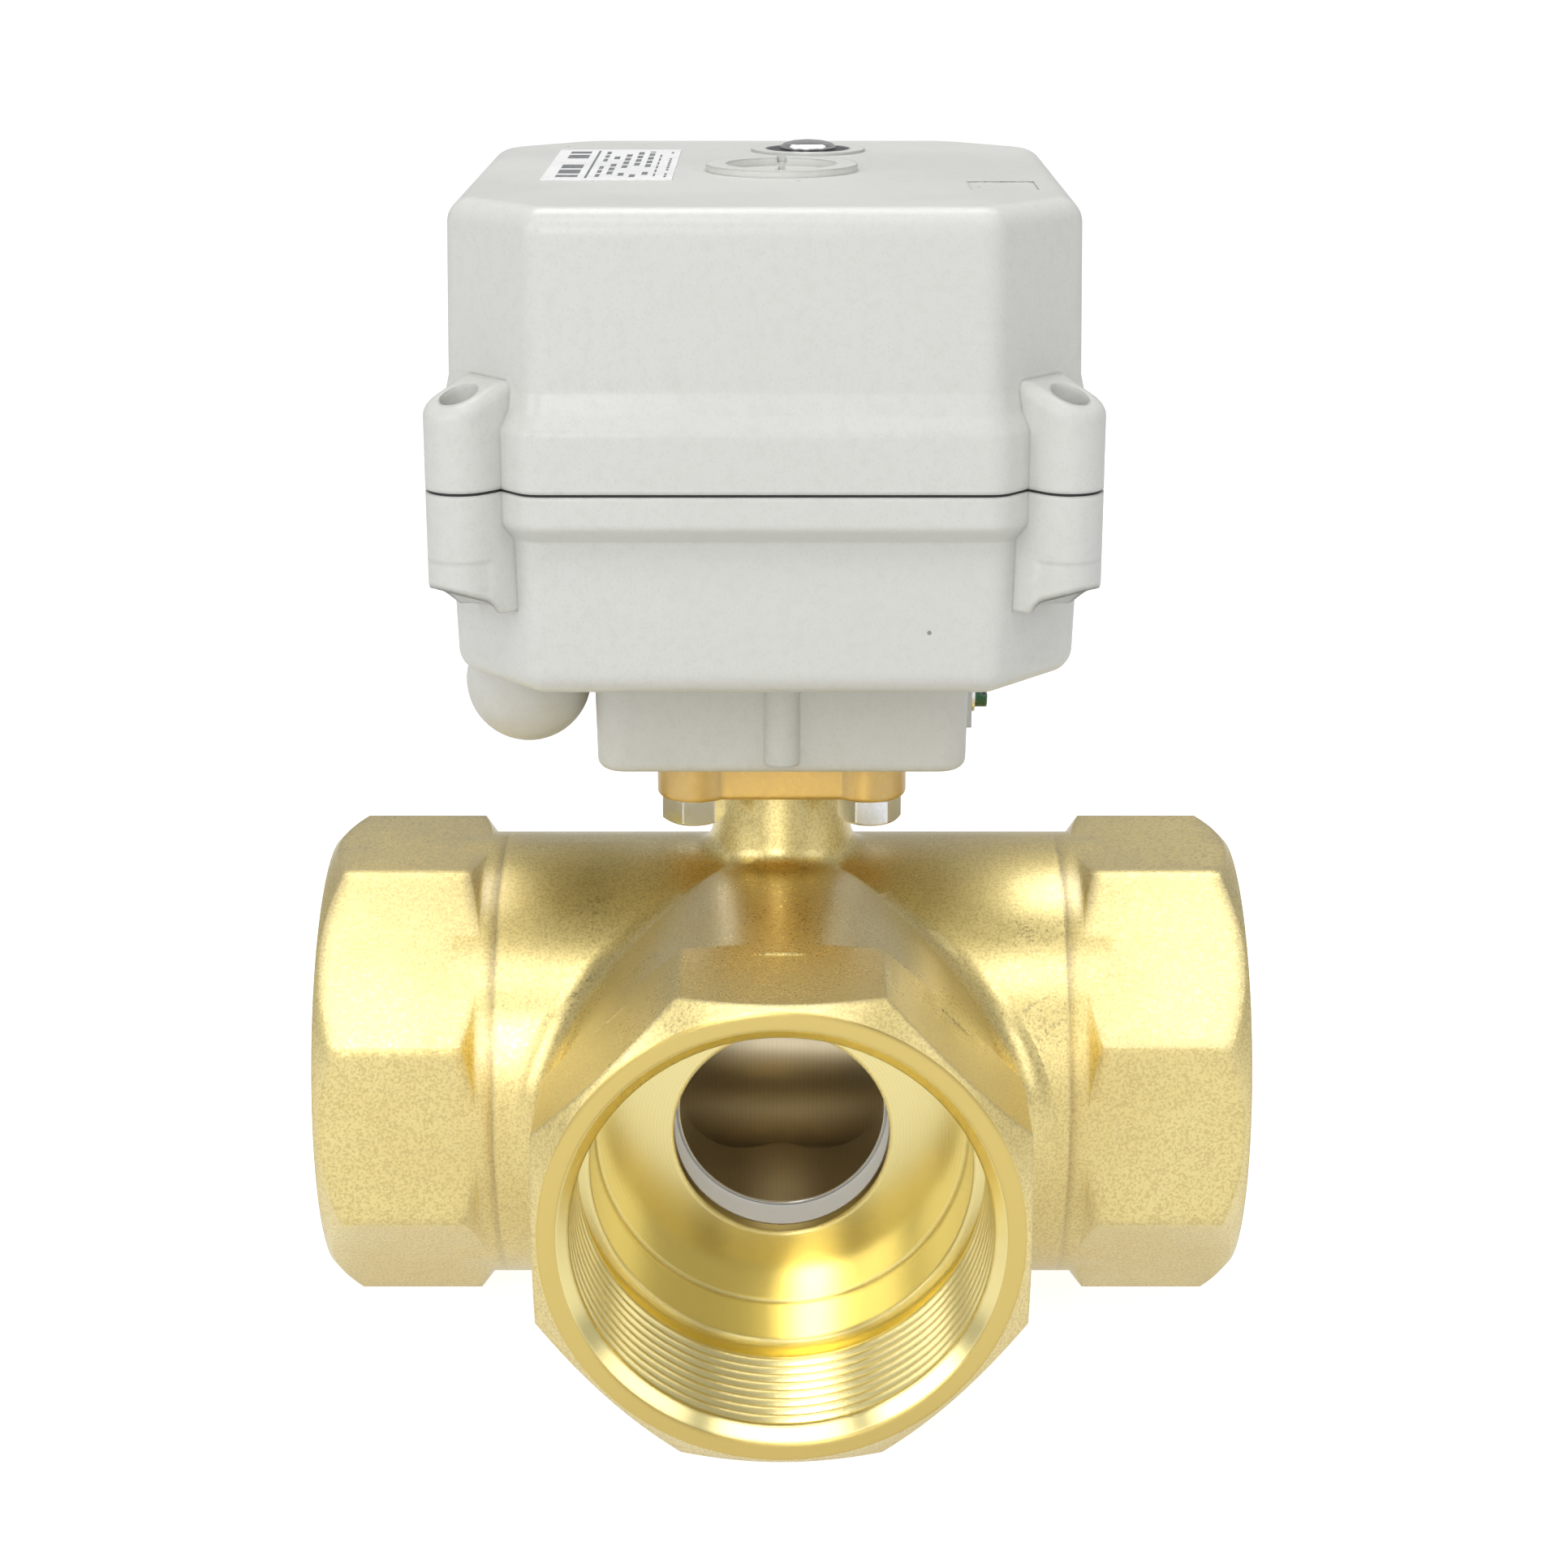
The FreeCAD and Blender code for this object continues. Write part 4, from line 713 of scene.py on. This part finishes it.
# ---- The finishes of this valve ----
POWDER = PowderCoat("powder_coat_grey", (0.60, 0.606, 0.574), (0.556, 0.56, 0.526), 0.37, 0.0,
                    grain=3200.0, bump=0.000024, patches=28.0, edge=0.0009, worn=(0.74, 0.75, 0.71))
BODY_BRASS = CastBrass("blasted_brass_body", (0.93, 0.775, 0.31), (0.85, 0.68, 0.25), 0.40, 1.0,
                       grain=2600.0, bump=0.000018, patches=38.0, edge=0.0010,
                       axes=((0.0, -1.0, 0.0),), worn=(0.95, 0.80, 0.42), coat=0.9)
END_BRASS = replace(BODY_BRASS, name="blasted_brass_ends", edge=0.003,
                    axes=((1.0, 0.0, 0.0), (-1.0, 0.0, 0.0)))
BLEND_BRASS = replace(BODY_BRASS, name="blasted_brass_blend", edge=0.00005, axes=(), worn=None)
CHROME_BALL = BoredBall("chromed_ball", (0.66, 0.64, 0.61), (0.58, 0.56, 0.53), 0.10, 1.0,
                        patches=60.0, edge=0.0005, centre=(0.0, 0.0, PORT_Z), bump=0.000002,
                        gloss_spread=0.06)
# The seat's glow is painted light that brightens it inside the dark port.
SEAT = Finish("ptfe_seat", (0.94, 0.95, 0.96), (0.90, 0.91, 0.92), 0.38, grain=3500.0,
              bump=0.000006, glow=0.16)
ZINC = Finish("bright_zinc_plate", (0.84, 0.85, 0.87), (0.72, 0.73, 0.75), 0.15, 1.0, grain=1500.0,
              bump=0.000008, patches=160.0, edge=0.00035, worn=(0.9, 0.9, 0.88),
              gloss_spread=0.12)
SHAFT_STEEL = TurnedMetal("ground_steel_shaft", (0.60, 0.59, 0.57), (0.48, 0.47, 0.45), 0.24, 1.0,
                          worn=(0.75, 0.74, 0.72))
CHROME = Finish("chrome_cap", (0.70, 0.70, 0.71), (0.60, 0.60, 0.61), 0.14, 1.0, grain=900.0,
                bump=0.000002, gloss_spread=0.05)
RUBBER_BLACK = Finish("nitrile_rubber", (0.022, 0.022, 0.023), (0.035, 0.034, 0.033), 0.62,
                      grain=2600.0, bump=0.00001, edge=0.0002)
BLACK_NYLON = Finish("moulded_black_nylon", (0.028, 0.028, 0.030), (0.045, 0.044, 0.043), 0.48,
                     grain=1700.0, bump=0.000018, worn=(0.09, 0.09, 0.09))
GREY_DIAL = PowderCoat("satin_grey_dial", (0.60, 0.612, 0.575), (0.52, 0.53, 0.50), 0.36, 0.0,
                       grain=3000.0, bump=0.000015, edge=0.0004, worn=(0.70, 0.71, 0.68))
CAM_RED = Finish("moulded_red_acetal", (0.52, 0.045, 0.03), (0.42, 0.035, 0.025), 0.34,
                 grain=2400.0, bump=0.000006, worn=(0.62, 0.16, 0.12))
CAM_BLUE = Finish("moulded_blue_acetal", (0.03, 0.12, 0.46), (0.025, 0.09, 0.36), 0.34,
                  grain=2400.0, bump=0.000006, worn=(0.14, 0.24, 0.55))
GEAR_BRASS = TurnedMetal("hobbed_brass_gear", (0.78, 0.58, 0.24), (0.62, 0.43, 0.16), 0.28, 1.0,
                         worn=(0.90, 0.74, 0.40))
GEAR_STEEL = TurnedMetal("sintered_steel_gear", (0.36, 0.35, 0.34), (0.26, 0.25, 0.24), 0.42, 1.0,
                         worn=(0.62, 0.61, 0.60))
PLATE = Finish("zinc_passivated_plate", (0.66, 0.66, 0.62), (0.54, 0.53, 0.46), 0.34, 1.0,
               grain=700.0, bump=0.000006, patches=120.0, worn=(0.78, 0.78, 0.76))
MOTOR_CAN = TurnedMetal("drawn_motor_can", (0.58, 0.58, 0.57), (0.47, 0.47, 0.46), 0.3, 1.0,
                        edge=0.0004, pitch=0.0009, worn=(0.72, 0.72, 0.71))
BRONZE = TurnedMetal("oiled_bronze_bush", (0.52, 0.31, 0.13), (0.38, 0.22, 0.09), 0.4, 1.0,
                     worn=(0.66, 0.44, 0.22))
BOARD_GREEN = CircuitBoard("green_solder_mask", (0.012, 0.105, 0.042), (0.010, 0.085, 0.034), 0.32,
                           grain=2600.0, bump=0.00003, edge=0.0002)
TERMINAL = Finish("moulded_green_terminal", (0.02, 0.33, 0.12), (0.018, 0.27, 0.10), 0.4,
                  grain=2400.0, bump=0.000008, worn=(0.12, 0.45, 0.22))
PARTS_BLACK = Finish("potted_component", (0.035, 0.036, 0.040), (0.06, 0.06, 0.062), 0.36,
                     grain=2200.0, bump=0.000012, worn=(0.12, 0.12, 0.12))
EARTH_GREEN = Finish("green_lacquered_screw", (0.012, 0.105, 0.045), (0.01, 0.07, 0.03), 0.3, 0.35,
                     grain=1800.0, bump=0.00001, worn=(0.20, 0.34, 0.22), coat=0.4)
SOLDER = Finish("tinned_solder", (0.74, 0.74, 0.72), (0.60, 0.60, 0.58), 0.22, 1.0,
                grain=1600.0, bump=0.00001, edge=0.0002)
WIRES = {
    name: Finish(f"pvc_insulation_{name}", colour, tuple(0.75 * c for c in colour), 0.38,
                 grain=1800.0, bump=0.000008, edge=0.0002)
    for name, colour in (("red", (0.45, 0.02, 0.015)), ("black", (0.02, 0.02, 0.02)),
                         ("yellow", (0.62, 0.45, 0.02)), ("white", (0.7, 0.7, 0.68)))
}


# ---- Modelling by operators ----
def link(thing: Piece) -> None:
    """Puts a new object into the scene."""
    bpy.context.scene.collection.objects.link(thing)


class Bench:
    """Shapes new pieces by operators and hands them over finished."""

    smooth_under: float = 35.0

    @staticmethod
    def clear() -> None:
        """Leaves nothing selected and nothing in edit mode."""
        if bpy.context.object and bpy.context.object.mode != "OBJECT":
            bpy.ops.object.mode_set(mode="OBJECT")
        for other in list(bpy.context.selected_objects):
            other.select_set(False)

    def start(self, primitive: Callable[..., Any], **sizes: Any) -> Piece:
        """Adds a primitive with nothing else selected.

        Args:
            primitive: One of the mesh primitive operators.
            **sizes: The operator's own sizes and place.

        Returns:
            The new object, selected and active.
        """
        self.clear()
        primitive(**sizes)
        return bpy.context.object

    def only(self, piece: Piece) -> None:
        """Selects one piece and makes it active."""
        self.clear()
        piece.select_set(True)
        bpy.context.view_layer.objects.active = piece

    def pick(self, piece: Piece, wanted: Callable[[Vector], bool]) -> None:
        """Selects faces in edit mode by their normal.

        Args:
            piece: The object, which is put in edit mode.
            wanted: Says from a face's normal whether it is taken.
        """
        if piece.mode != "EDIT":
            bpy.ops.object.mode_set(mode="EDIT")
        bpy.ops.mesh.select_mode(type="FACE")
        bpy.ops.mesh.select_all(action="DESELECT")
        mesh = bmesh.from_edit_mesh(piece.data)
        for face in mesh.faces:
            if wanted(face.normal):
                face.select_set(True)
        bmesh.update_edit_mesh(piece.data)

    def apply(self, piece: Piece) -> None:
        """Applies every modifier and the piece's own place, turn and scale."""
        self.only(piece)
        for modifier in list(piece.modifiers):
            bpy.ops.object.modifier_apply(modifier=modifier.name)
        bpy.ops.object.transform_apply(location=True, rotation=True, scale=True)

    def bevel(self, piece: Piece, width: float, segments: int = 3) -> None:
        """Rounds the sharp edges of a piece."""
        modifier = piece.modifiers.new("round", "BEVEL")
        modifier.width = width
        modifier.segments = segments
        modifier.limit_method = "ANGLE"

    def hand_over(self, piece: Piece, name: str, slot: Slot, finish: Finish) -> Piece:
        """Applies a piece's modifiers, smooths and dresses it and lets it ride.

        Args:
            piece: The shaped object.
            name: Its plain name.
            slot: The record's material slot; it is not used.
            finish: The finish that dresses it.

        Returns:
            The same object.
        """
        self.apply(piece)
        bpy.ops.object.shade_smooth_by_angle(angle=math.radians(self.smooth_under))
        piece.data.materials.clear()
        piece.data.materials.append(finish.material())
        self.enter(piece, name, slot)
        return piece

    def copy(self, piece: Piece, name: str, shift: Vector, slot: Slot) -> None:
        """Copies a finished piece with its own mesh, moved by a shift."""
        twin = piece.copy()
        twin.data = piece.data.copy()
        twin.parent = None
        link(twin)
        twin.data.transform(Matrix.Translation(shift))
        self.enter(twin, name, slot)

    @staticmethod
    def enter(piece: Piece, name: str, slot: Slot) -> None:
        """Names a finished piece and makes it ride on the fixed body."""
        piece.name = name
        piece.data.name = name
        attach(piece, Body.FIXED.value)
        LOG.info("%s: %d faces on %s", name, len(piece.data.polygons), Body.FIXED.value)


BENCH = Bench()


def dress(finish: Finish, *nodes: str) -> None:
    """Gives CAD nodes a finish."""
    for name in nodes:
        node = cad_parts[name]
        node.data.materials.clear()
        node.data.materials.append(finish.material())
        LOG.info("%s dressed in %s", name, finish.name)


# ---- Sub-assemblies ----
@dataclass
class ValveBody:
    """The cast tee, its end connectors and the rolled fillets in its crotch."""

    radius: float = 0.0335
    blend: float = 0.006
    buried: float = 0.985
    top: float = 66.0
    steps: int = 72
    arc: int = 12
    lowest: float = 0.0006

    def build(self) -> None:
        """Dresses the castings and adds the fillets."""
        dress(BODY_BRASS, "valve_body")
        dress(END_BRASS, "end_connector_left", "end_connector_right")
        dress(RUBBER_BLACK, "connector_seal_left", "connector_seal_right")
        for side, name in ((-1.0, "crotch_fillet_left"), (1.0, "crotch_fillet_right")):
            self.fillet(side, name)

    def section(self, angle: float, side: float) -> list[Vector]:
        """One cross-section of a rolling-ball fillet between two equal tubes.

        Args:
            angle: How far up the crease the section stands.
            side: -1 for the left crease, 1 for the right one.

        Returns:
            Points along the arc, then a point buried under the crease.
        """
        reach = self.radius + self.blend
        out, up = reach * math.cos(angle), reach * math.sin(angle)
        centre = Vector((side * out, -out, up))
        shrink = self.radius / reach
        on_run = Vector((centre.x, centre.y * shrink, centre.z * shrink))
        on_branch = Vector((centre.x * shrink, centre.y, centre.z * shrink))
        first, last = on_run - centre, on_branch - centre
        turns = [first.slerp(last, k / self.arc).normalized() for k in range(self.arc + 1)]
        return [centre + self.blend * turn for turn in turns] + [centre * shrink * self.buried]

    def fillet(self, side: float, name: str) -> None:
        """Models one fillet as a closed strip.

        Its surface follows from the two tubes, so its points are worked out
        rather than shaped by hand.
        """
        base = Vector((0.0, 0.0, PORT_Z))
        low = -math.asin((PORT_Z - self.lowest) / self.radius)
        sweep = math.radians(self.top) - low
        angles = [low + sweep * k / self.steps for k in range(self.steps + 1)]
        rows = [[base + p for p in self.section(a, side)] for a in angles]
        width = len(rows[0])
        points = [tuple(p) for row in rows for p in row]
        faces = []
        for r in range(len(rows) - 1):
            for c in range(width):
                a, b = r * width + c, r * width + (c + 1) % width
                faces.append((a, b, b + width, a + width))
        faces.append(tuple(range(width)))
        faces.append(tuple(range(len(points) - width, len(points))))
        mesh = bpy.data.meshes.new(name)
        mesh.from_pydata(points, [], faces)
        piece = bpy.data.objects.new(name, mesh)
        link(piece)
        BENCH.only(piece)
        bpy.ops.object.mode_set(mode="EDIT")
        bpy.ops.mesh.select_all(action="SELECT")
        bpy.ops.mesh.normals_make_consistent(inside=False)
        bpy.ops.object.mode_set(mode="OBJECT")
        BENCH.hand_over(piece, name, Slot.BRASS, BLEND_BRASS)


@dataclass
class BallAndStem:
    """Chromed ball, seats, stem and the bolts that hold the actuator."""

    def build(self) -> None:
        """Dresses the wetted parts and the fasteners."""
        dress(CHROME_BALL, "ball")
        dress(SEAT, "seat_left", "seat_right", "seat_front", "seat_rear", "stem_thrust_washer")
        dress(SHAFT_STEEL, "stem")
        dress(RUBBER_BLACK, "stem_o_rings")
        dress(ZINC, "flange_bolts")


@dataclass
class Housing:
    """Powder coated case, its gasket, screws, dial, override cap and label."""

    def build(self) -> None:
        """Dresses the case and everything on its outside."""
        dress(POWDER, "lower_housing", "upper_housing")
        dress(RUBBER_BLACK, "housing_gasket", "indicator_seal", "override_cap_seal", "gland_seal")
        dress(ZINC, "cover_screws", "earth_washer")
        dress(GREY_DIAL, "indicator_dial")
        dress(CHROME, "override_cap")
        dress(BLACK_NYLON, "override_bush", "cable_gland", "gland_nut")
        dress(EARTH_GREEN, "earth_screw")
        low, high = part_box("rating_label")
        label = PrintedLabel("printed_label_film", (0.86, 0.865, 0.86), (0.80, 0.80, 0.79), 0.3,
                             grain=1500.0, bump=0.000004, edge=0.0001,
                             low=tuple(low), high=tuple(high))
        dress(label, "rating_label")


@dataclass
class GearTrain:
    """Plates, pillars, gears, shafts, bushes and the motor."""

    def build(self) -> None:
        """Dresses the train."""
        dress(PLATE, "gear_plate_lower", "gear_plate_upper", "switch_bracket")
        dress(SHAFT_STEEL, "gear_plate_pillars", "gear_axle_3", "output_shaft", "override_shaft",
              "motor_shaft")
        dress(ZINC, "gear_plate_screws", "motor_screws", "board_screws", "switch_screws",
              "cam_screws")
        dress(BRONZE, "shaft_bush_lower", "shaft_bush_upper")
        dress(RUBBER_BLACK, "shaft_seal")
        for finish, node in ((GEAR_BRASS, "output_gear"), (GEAR_STEEL, "gear_3"),
                             (GEAR_STEEL, "gear_2"), (GEAR_BRASS, "motor_pinion"),
                             (MOTOR_CAN, "motor")):
            dress(self.centred(finish, node), node)

    @staticmethod
    def centred(finish: TurnedMetal, node: str) -> TurnedMetal:
        """The finish with its lathe marks about a node's middle."""
        low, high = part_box(node)
        middle = (low + high) / 2
        return replace(finish, name=f"{finish.name}_{node}", centre=tuple(middle))


@dataclass
class Controls:
    """Cams, limit switches, circuit board and the leads between them.

    Each lead has its place across the board and the name of its colour.
    """

    lead_radius: float = 0.0007
    tie_at: Vector = field(default_factory=lambda: Vector((0.0240, -0.0010, 0.1535)))
    board_top: float = field(default_factory=lambda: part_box("circuit_board")[1].z)
    motor_leads: tuple[tuple[float, str], ...] = ((0.0228, "red"), (0.0252, "black"))
    switch_leads: tuple[tuple[float, str, str], ...] = (
        (-0.0285, "yellow", "limit_switch_open"), (-0.0262, "white", "limit_switch_closed"))

    def build(self) -> None:
        """Dresses the controls, then adds leads, solder and a cable tie."""
        dress(CAM_RED, "cam_open")
        dress(CAM_BLUE, "cam_closed")
        dress(BLACK_NYLON, "limit_switch_open", "limit_switch_closed")
        dress(ZINC, "lever_open", "lever_closed", "board_pillars")
        dress(BOARD_GREEN, "circuit_board")
        dress(TERMINAL, "terminal_block")
        dress(PARTS_BLACK, "board_components")
        ends = []
        for x, colour in self.motor_leads:
            route = self.motor_route(x)
            self.lead("motor", route, colour)
            ends.append(route[-1])
        for x, colour, switch in self.switch_leads:
            route = self.switch_route(x, switch)
            self.lead("switch", route, colour)
            ends.append(route[-1])
        self.solder(ends)
        self.tie(self.tie_at)

    def motor_route(self, x: float) -> list[Vector]:
        """The points of a lead from the motor's cap, through the tie, to the board."""
        low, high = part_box("motor")
        top, tie = high.z + 0.0004, self.tie_at
        end = Vector((x, -0.0155, self.board_top))
        return [Vector((x, low.y + 0.004, top - 0.003)),
                Vector((x, low.y + 0.0035, top + 0.0012)),
                Vector((x, low.y - 0.0015, top + 0.001)),
                Vector((x, low.y - 0.0065, tie.z + 0.005)),
                Vector((x, tie.y, tie.z)), Vector((x, -0.0105, tie.z - 0.0035)),
                end + Vector((0.0, 0.0, 0.0045)), end]

    def switch_route(self, x: float, switch: str) -> list[Vector]:
        """The points of a lead from the back of a limit switch to the board."""
        low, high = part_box(switch)
        height = (low.z + high.z) / 2
        end = Vector((x, -0.0150, self.board_top))
        return [Vector((low.x + 0.001, -0.006, height)), Vector((low.x - 0.0025, -0.006, height)),
                Vector((low.x - 0.0032, -0.0065, height + 0.004)),
                Vector((low.x - 0.0022, -0.0085, self.board_top - 0.001)),
                Vector((x, -0.0125, self.board_top + 0.0038)),
                end + Vector((0.0, 0.0, 0.003)), end]

    def lead(self, name: str, route: Sequence[Vector], colour: str) -> None:
        """A wire along a smooth curve, made a mesh.

        Args:
            name: What the lead joins to the board.
            route: Points that steer the curve, from end to end.
            colour: The name of its insulation's colour.
        """
        BENCH.clear()
        bpy.ops.curve.primitive_nurbs_path_add()
        wire = bpy.context.object
        wire.data.splines.clear()
        line = wire.data.splines.new("NURBS")
        line.points.add(len(route) - 1)
        for point, place in zip(line.points, route):
            point.co = (*place, 1.0)
        line.order_u = 3
        line.use_endpoint_u = True
        wire.data.bevel_depth = self.lead_radius
        wire.data.bevel_resolution = 4
        wire.data.resolution_u = 8
        wire.data.use_fill_caps = True
        BENCH.only(wire)
        bpy.ops.object.convert(target="MESH")
        BENCH.hand_over(bpy.context.object, f"{name}_lead_{colour}", Slot.RUBBER, WIRES[colour])

    def solder(self, ends: Sequence[Vector]) -> None:
        """A solder cone where each lead meets the board."""
        first = ends[0]
        cone = BENCH.start(bpy.ops.mesh.primitive_cylinder_add, vertices=24, radius=0.0013,
                           depth=0.0008, location=first + Vector((0.0, 0.0, 0.0004)))
        BENCH.pick(cone, lambda normal: normal.z > SQUARE_ON)
        bpy.ops.mesh.inset(thickness=0.0004)
        bpy.ops.transform.translate(value=(0.0, 0.0, 0.0006))
        bpy.ops.mesh.inset(thickness=0.0003)
        bpy.ops.transform.translate(value=(0.0, 0.0, 0.0005))
        bpy.ops.object.mode_set(mode="OBJECT")
        BENCH.bevel(cone, 0.00012, 2)
        made = BENCH.hand_over(cone, "solder_joint_1", Slot.STEEL, SOLDER)
        for count, end in enumerate(ends[1:], 2):
            BENCH.copy(made, f"solder_joint_{count}", end - first, Slot.STEEL)

    def tie(self, middle: Vector) -> None:
        """A nylon tie round the motor leads: a closed strap and its head."""
        strap = BENCH.start(bpy.ops.mesh.primitive_cylinder_add, vertices=40, radius=0.00105,
                            depth=0.0018, location=middle)
        bpy.ops.object.mode_set(mode="EDIT")
        bpy.ops.transform.resize(value=(2.15, 1.0, 1.0), center_override=middle)
        BENCH.pick(strap, lambda normal: abs(normal.z) > SQUARE_ON)
        bpy.ops.mesh.inset(thickness=0.0003)
        bpy.ops.mesh.bridge_edge_loops()
        bpy.ops.mesh.select_all(action="SELECT")
        bpy.ops.mesh.normals_make_consistent(inside=False)
        bpy.ops.object.mode_set(mode="OBJECT")
        BENCH.bevel(strap, 0.0001, 2)
        BENCH.hand_over(strap, "cable_tie_strap", Slot.BLACK, BLACK_NYLON)
        at = middle + Vector((0.0, -0.0018, 0.0))
        head = BENCH.start(bpy.ops.mesh.primitive_cube_add, size=0.002, location=at)
        BENCH.pick(head, lambda normal: abs(normal.x) > SQUARE_ON)
        bpy.ops.mesh.inset(thickness=0.0004)
        bpy.ops.transform.resize(value=(0.75, 1.0, 1.0), center_override=at)
        bpy.ops.object.mode_set(mode="OBJECT")
        BENCH.bevel(head, 0.0002, 3)
        BENCH.hand_over(head, "cable_tie_head", Slot.BLACK, BLACK_NYLON)


# ---- Studio ----
@dataclass
class Lamp:
    """One soft rectangular light."""

    name: str
    place: Point
    size: tuple[float, float]
    power: float

    def build(self, target: Vector) -> None:
        """Adds the light and turns it to a target."""
        data = bpy.data.lights.new(self.name, "AREA")
        data.shape = "RECTANGLE"
        data.size, data.size_y = self.size
        data.energy = self.power
        lamp = bpy.data.objects.new(self.name, data)
        link(lamp)
        lamp.location = self.place
        lamp.rotation_euler = (target - Vector(self.place)).to_track_quat("-Z", "Y").to_euler()


@dataclass
class Studio:
    """Pale floor, soft lights, soft sky and the camera."""

    camera_at: Point = (0.00033, -0.4355, 0.2108)
    tilt: float = 72.8
    lens: float = 70.0
    lit: Point = (0.0, 0.0, 0.08)
    floor_half: float = 6.0
    floor_glow: float = 0.5
    floor_white: float = 0.88
    sky: float = 0.42
    backdrop: float = 1.1
    lamps: tuple[Lamp, ...] = (
        Lamp("key_left", (-0.9, -0.6, 0.6), (0.5, 0.7), 3.4),
        Lamp("key_right", (0.9, -0.6, 0.6), (0.5, 0.7), 1.8),
        Lamp("overhead_front", (0.0, -0.55, 1.1), (1.0, 0.4), 4.0),
        Lamp("front", (-0.19, -1.2, 0.64), (0.22, 0.5), 2.9),
        Lamp("front_low", (-0.25, -1.3, 0.3), (0.8, 0.3), 1.1),
        Lamp("top_rear", (0.0, 0.4, 1.1), (0.9, 0.5), 7.0),
    )

    def build(self) -> None:
        """Adds everything round the object."""
        self.floor()
        self.world()
        for lamp in self.lamps:
            lamp.build(Vector(self.lit))
        self.camera()
        settings = bpy.context.scene.view_settings
        settings.view_transform = "Standard"
        settings.look = "None"

    def floor(self) -> None:
        """A pale sheet that stays white under the object."""
        sheet = BENCH.start(bpy.ops.mesh.primitive_plane_add, size=2 * self.floor_half,
                            location=(0.0, 0.0, CAD_BOX[0][2] - 0.0002))
        material = bpy.data.materials.new("studio_floor")
        material.use_nodes = True
        graph = Graph(material.node_tree)
        shader = material.node_tree.nodes["Principled BSDF"]
        shader.inputs["Roughness"].default_value = 0.9
        seen = graph.add("ShaderNodeLightPath").outputs["Is Camera Ray"]
        glow = graph.line(seen, 0.0, 1.0, self.floor_glow, self.floor_white)
        graph.feed(shader, "Emission Strength", glow)
        patches = graph.noise(3.0, 2.0)
        for key, low, high in (("Base Color", 0.34, 0.36), ("Emission Color", 0.99, 1.0)):
            graph.feed(shader, key, graph.mix(patches, (low,) * 3, (high,) * 3))
        sheet.data.materials.append(material)
        sheet.name = "studio_floor"

    def world(self) -> None:
        """A white sky, a little dimmer overhead and behind."""
        world = bpy.data.worlds.new("studio_sky")
        world.use_nodes = True
        graph = Graph(world.node_tree)
        way = graph.add("ShaderNodeTexCoord").outputs["Generated"]
        overhead = graph.ramp(graph.height(way), 0.35, 0.95)
        tone = graph.mix(overhead, (1.0, 1.0, 1.0), (0.55, 0.55, 0.55))
        background = world.node_tree.nodes["Background"]
        graph.feed(background, "Color", tone)
        seen = graph.add("ShaderNodeLightPath").outputs["Is Camera Ray"]
        graph.feed(background, "Strength", graph.line(seen, 0.0, 1.0, self.sky, self.backdrop))
        bpy.context.scene.world = world

    def camera(self) -> None:
        """The camera, low telephoto, looking slightly down at the front."""
        data = bpy.data.cameras.new("camera")
        data.lens = self.lens
        data.sensor_width = 36.0
        data.clip_start = 0.01
        camera = bpy.data.objects.new("camera", data)
        link(camera)
        camera.location = self.camera_at
        camera.rotation_euler = (math.radians(self.tilt), 0.0, 0.0)
        bpy.context.scene.camera = camera


def main() -> None:
    """Builds the studio and every sub-assembly in order."""
    for part in (Studio(), ValveBody(), BallAndStem(), Housing(), GearTrain(), Controls()):
        LOG.info("building %s", type(part).__name__)
        part.build()


if __name__ == "__main__":
    main()
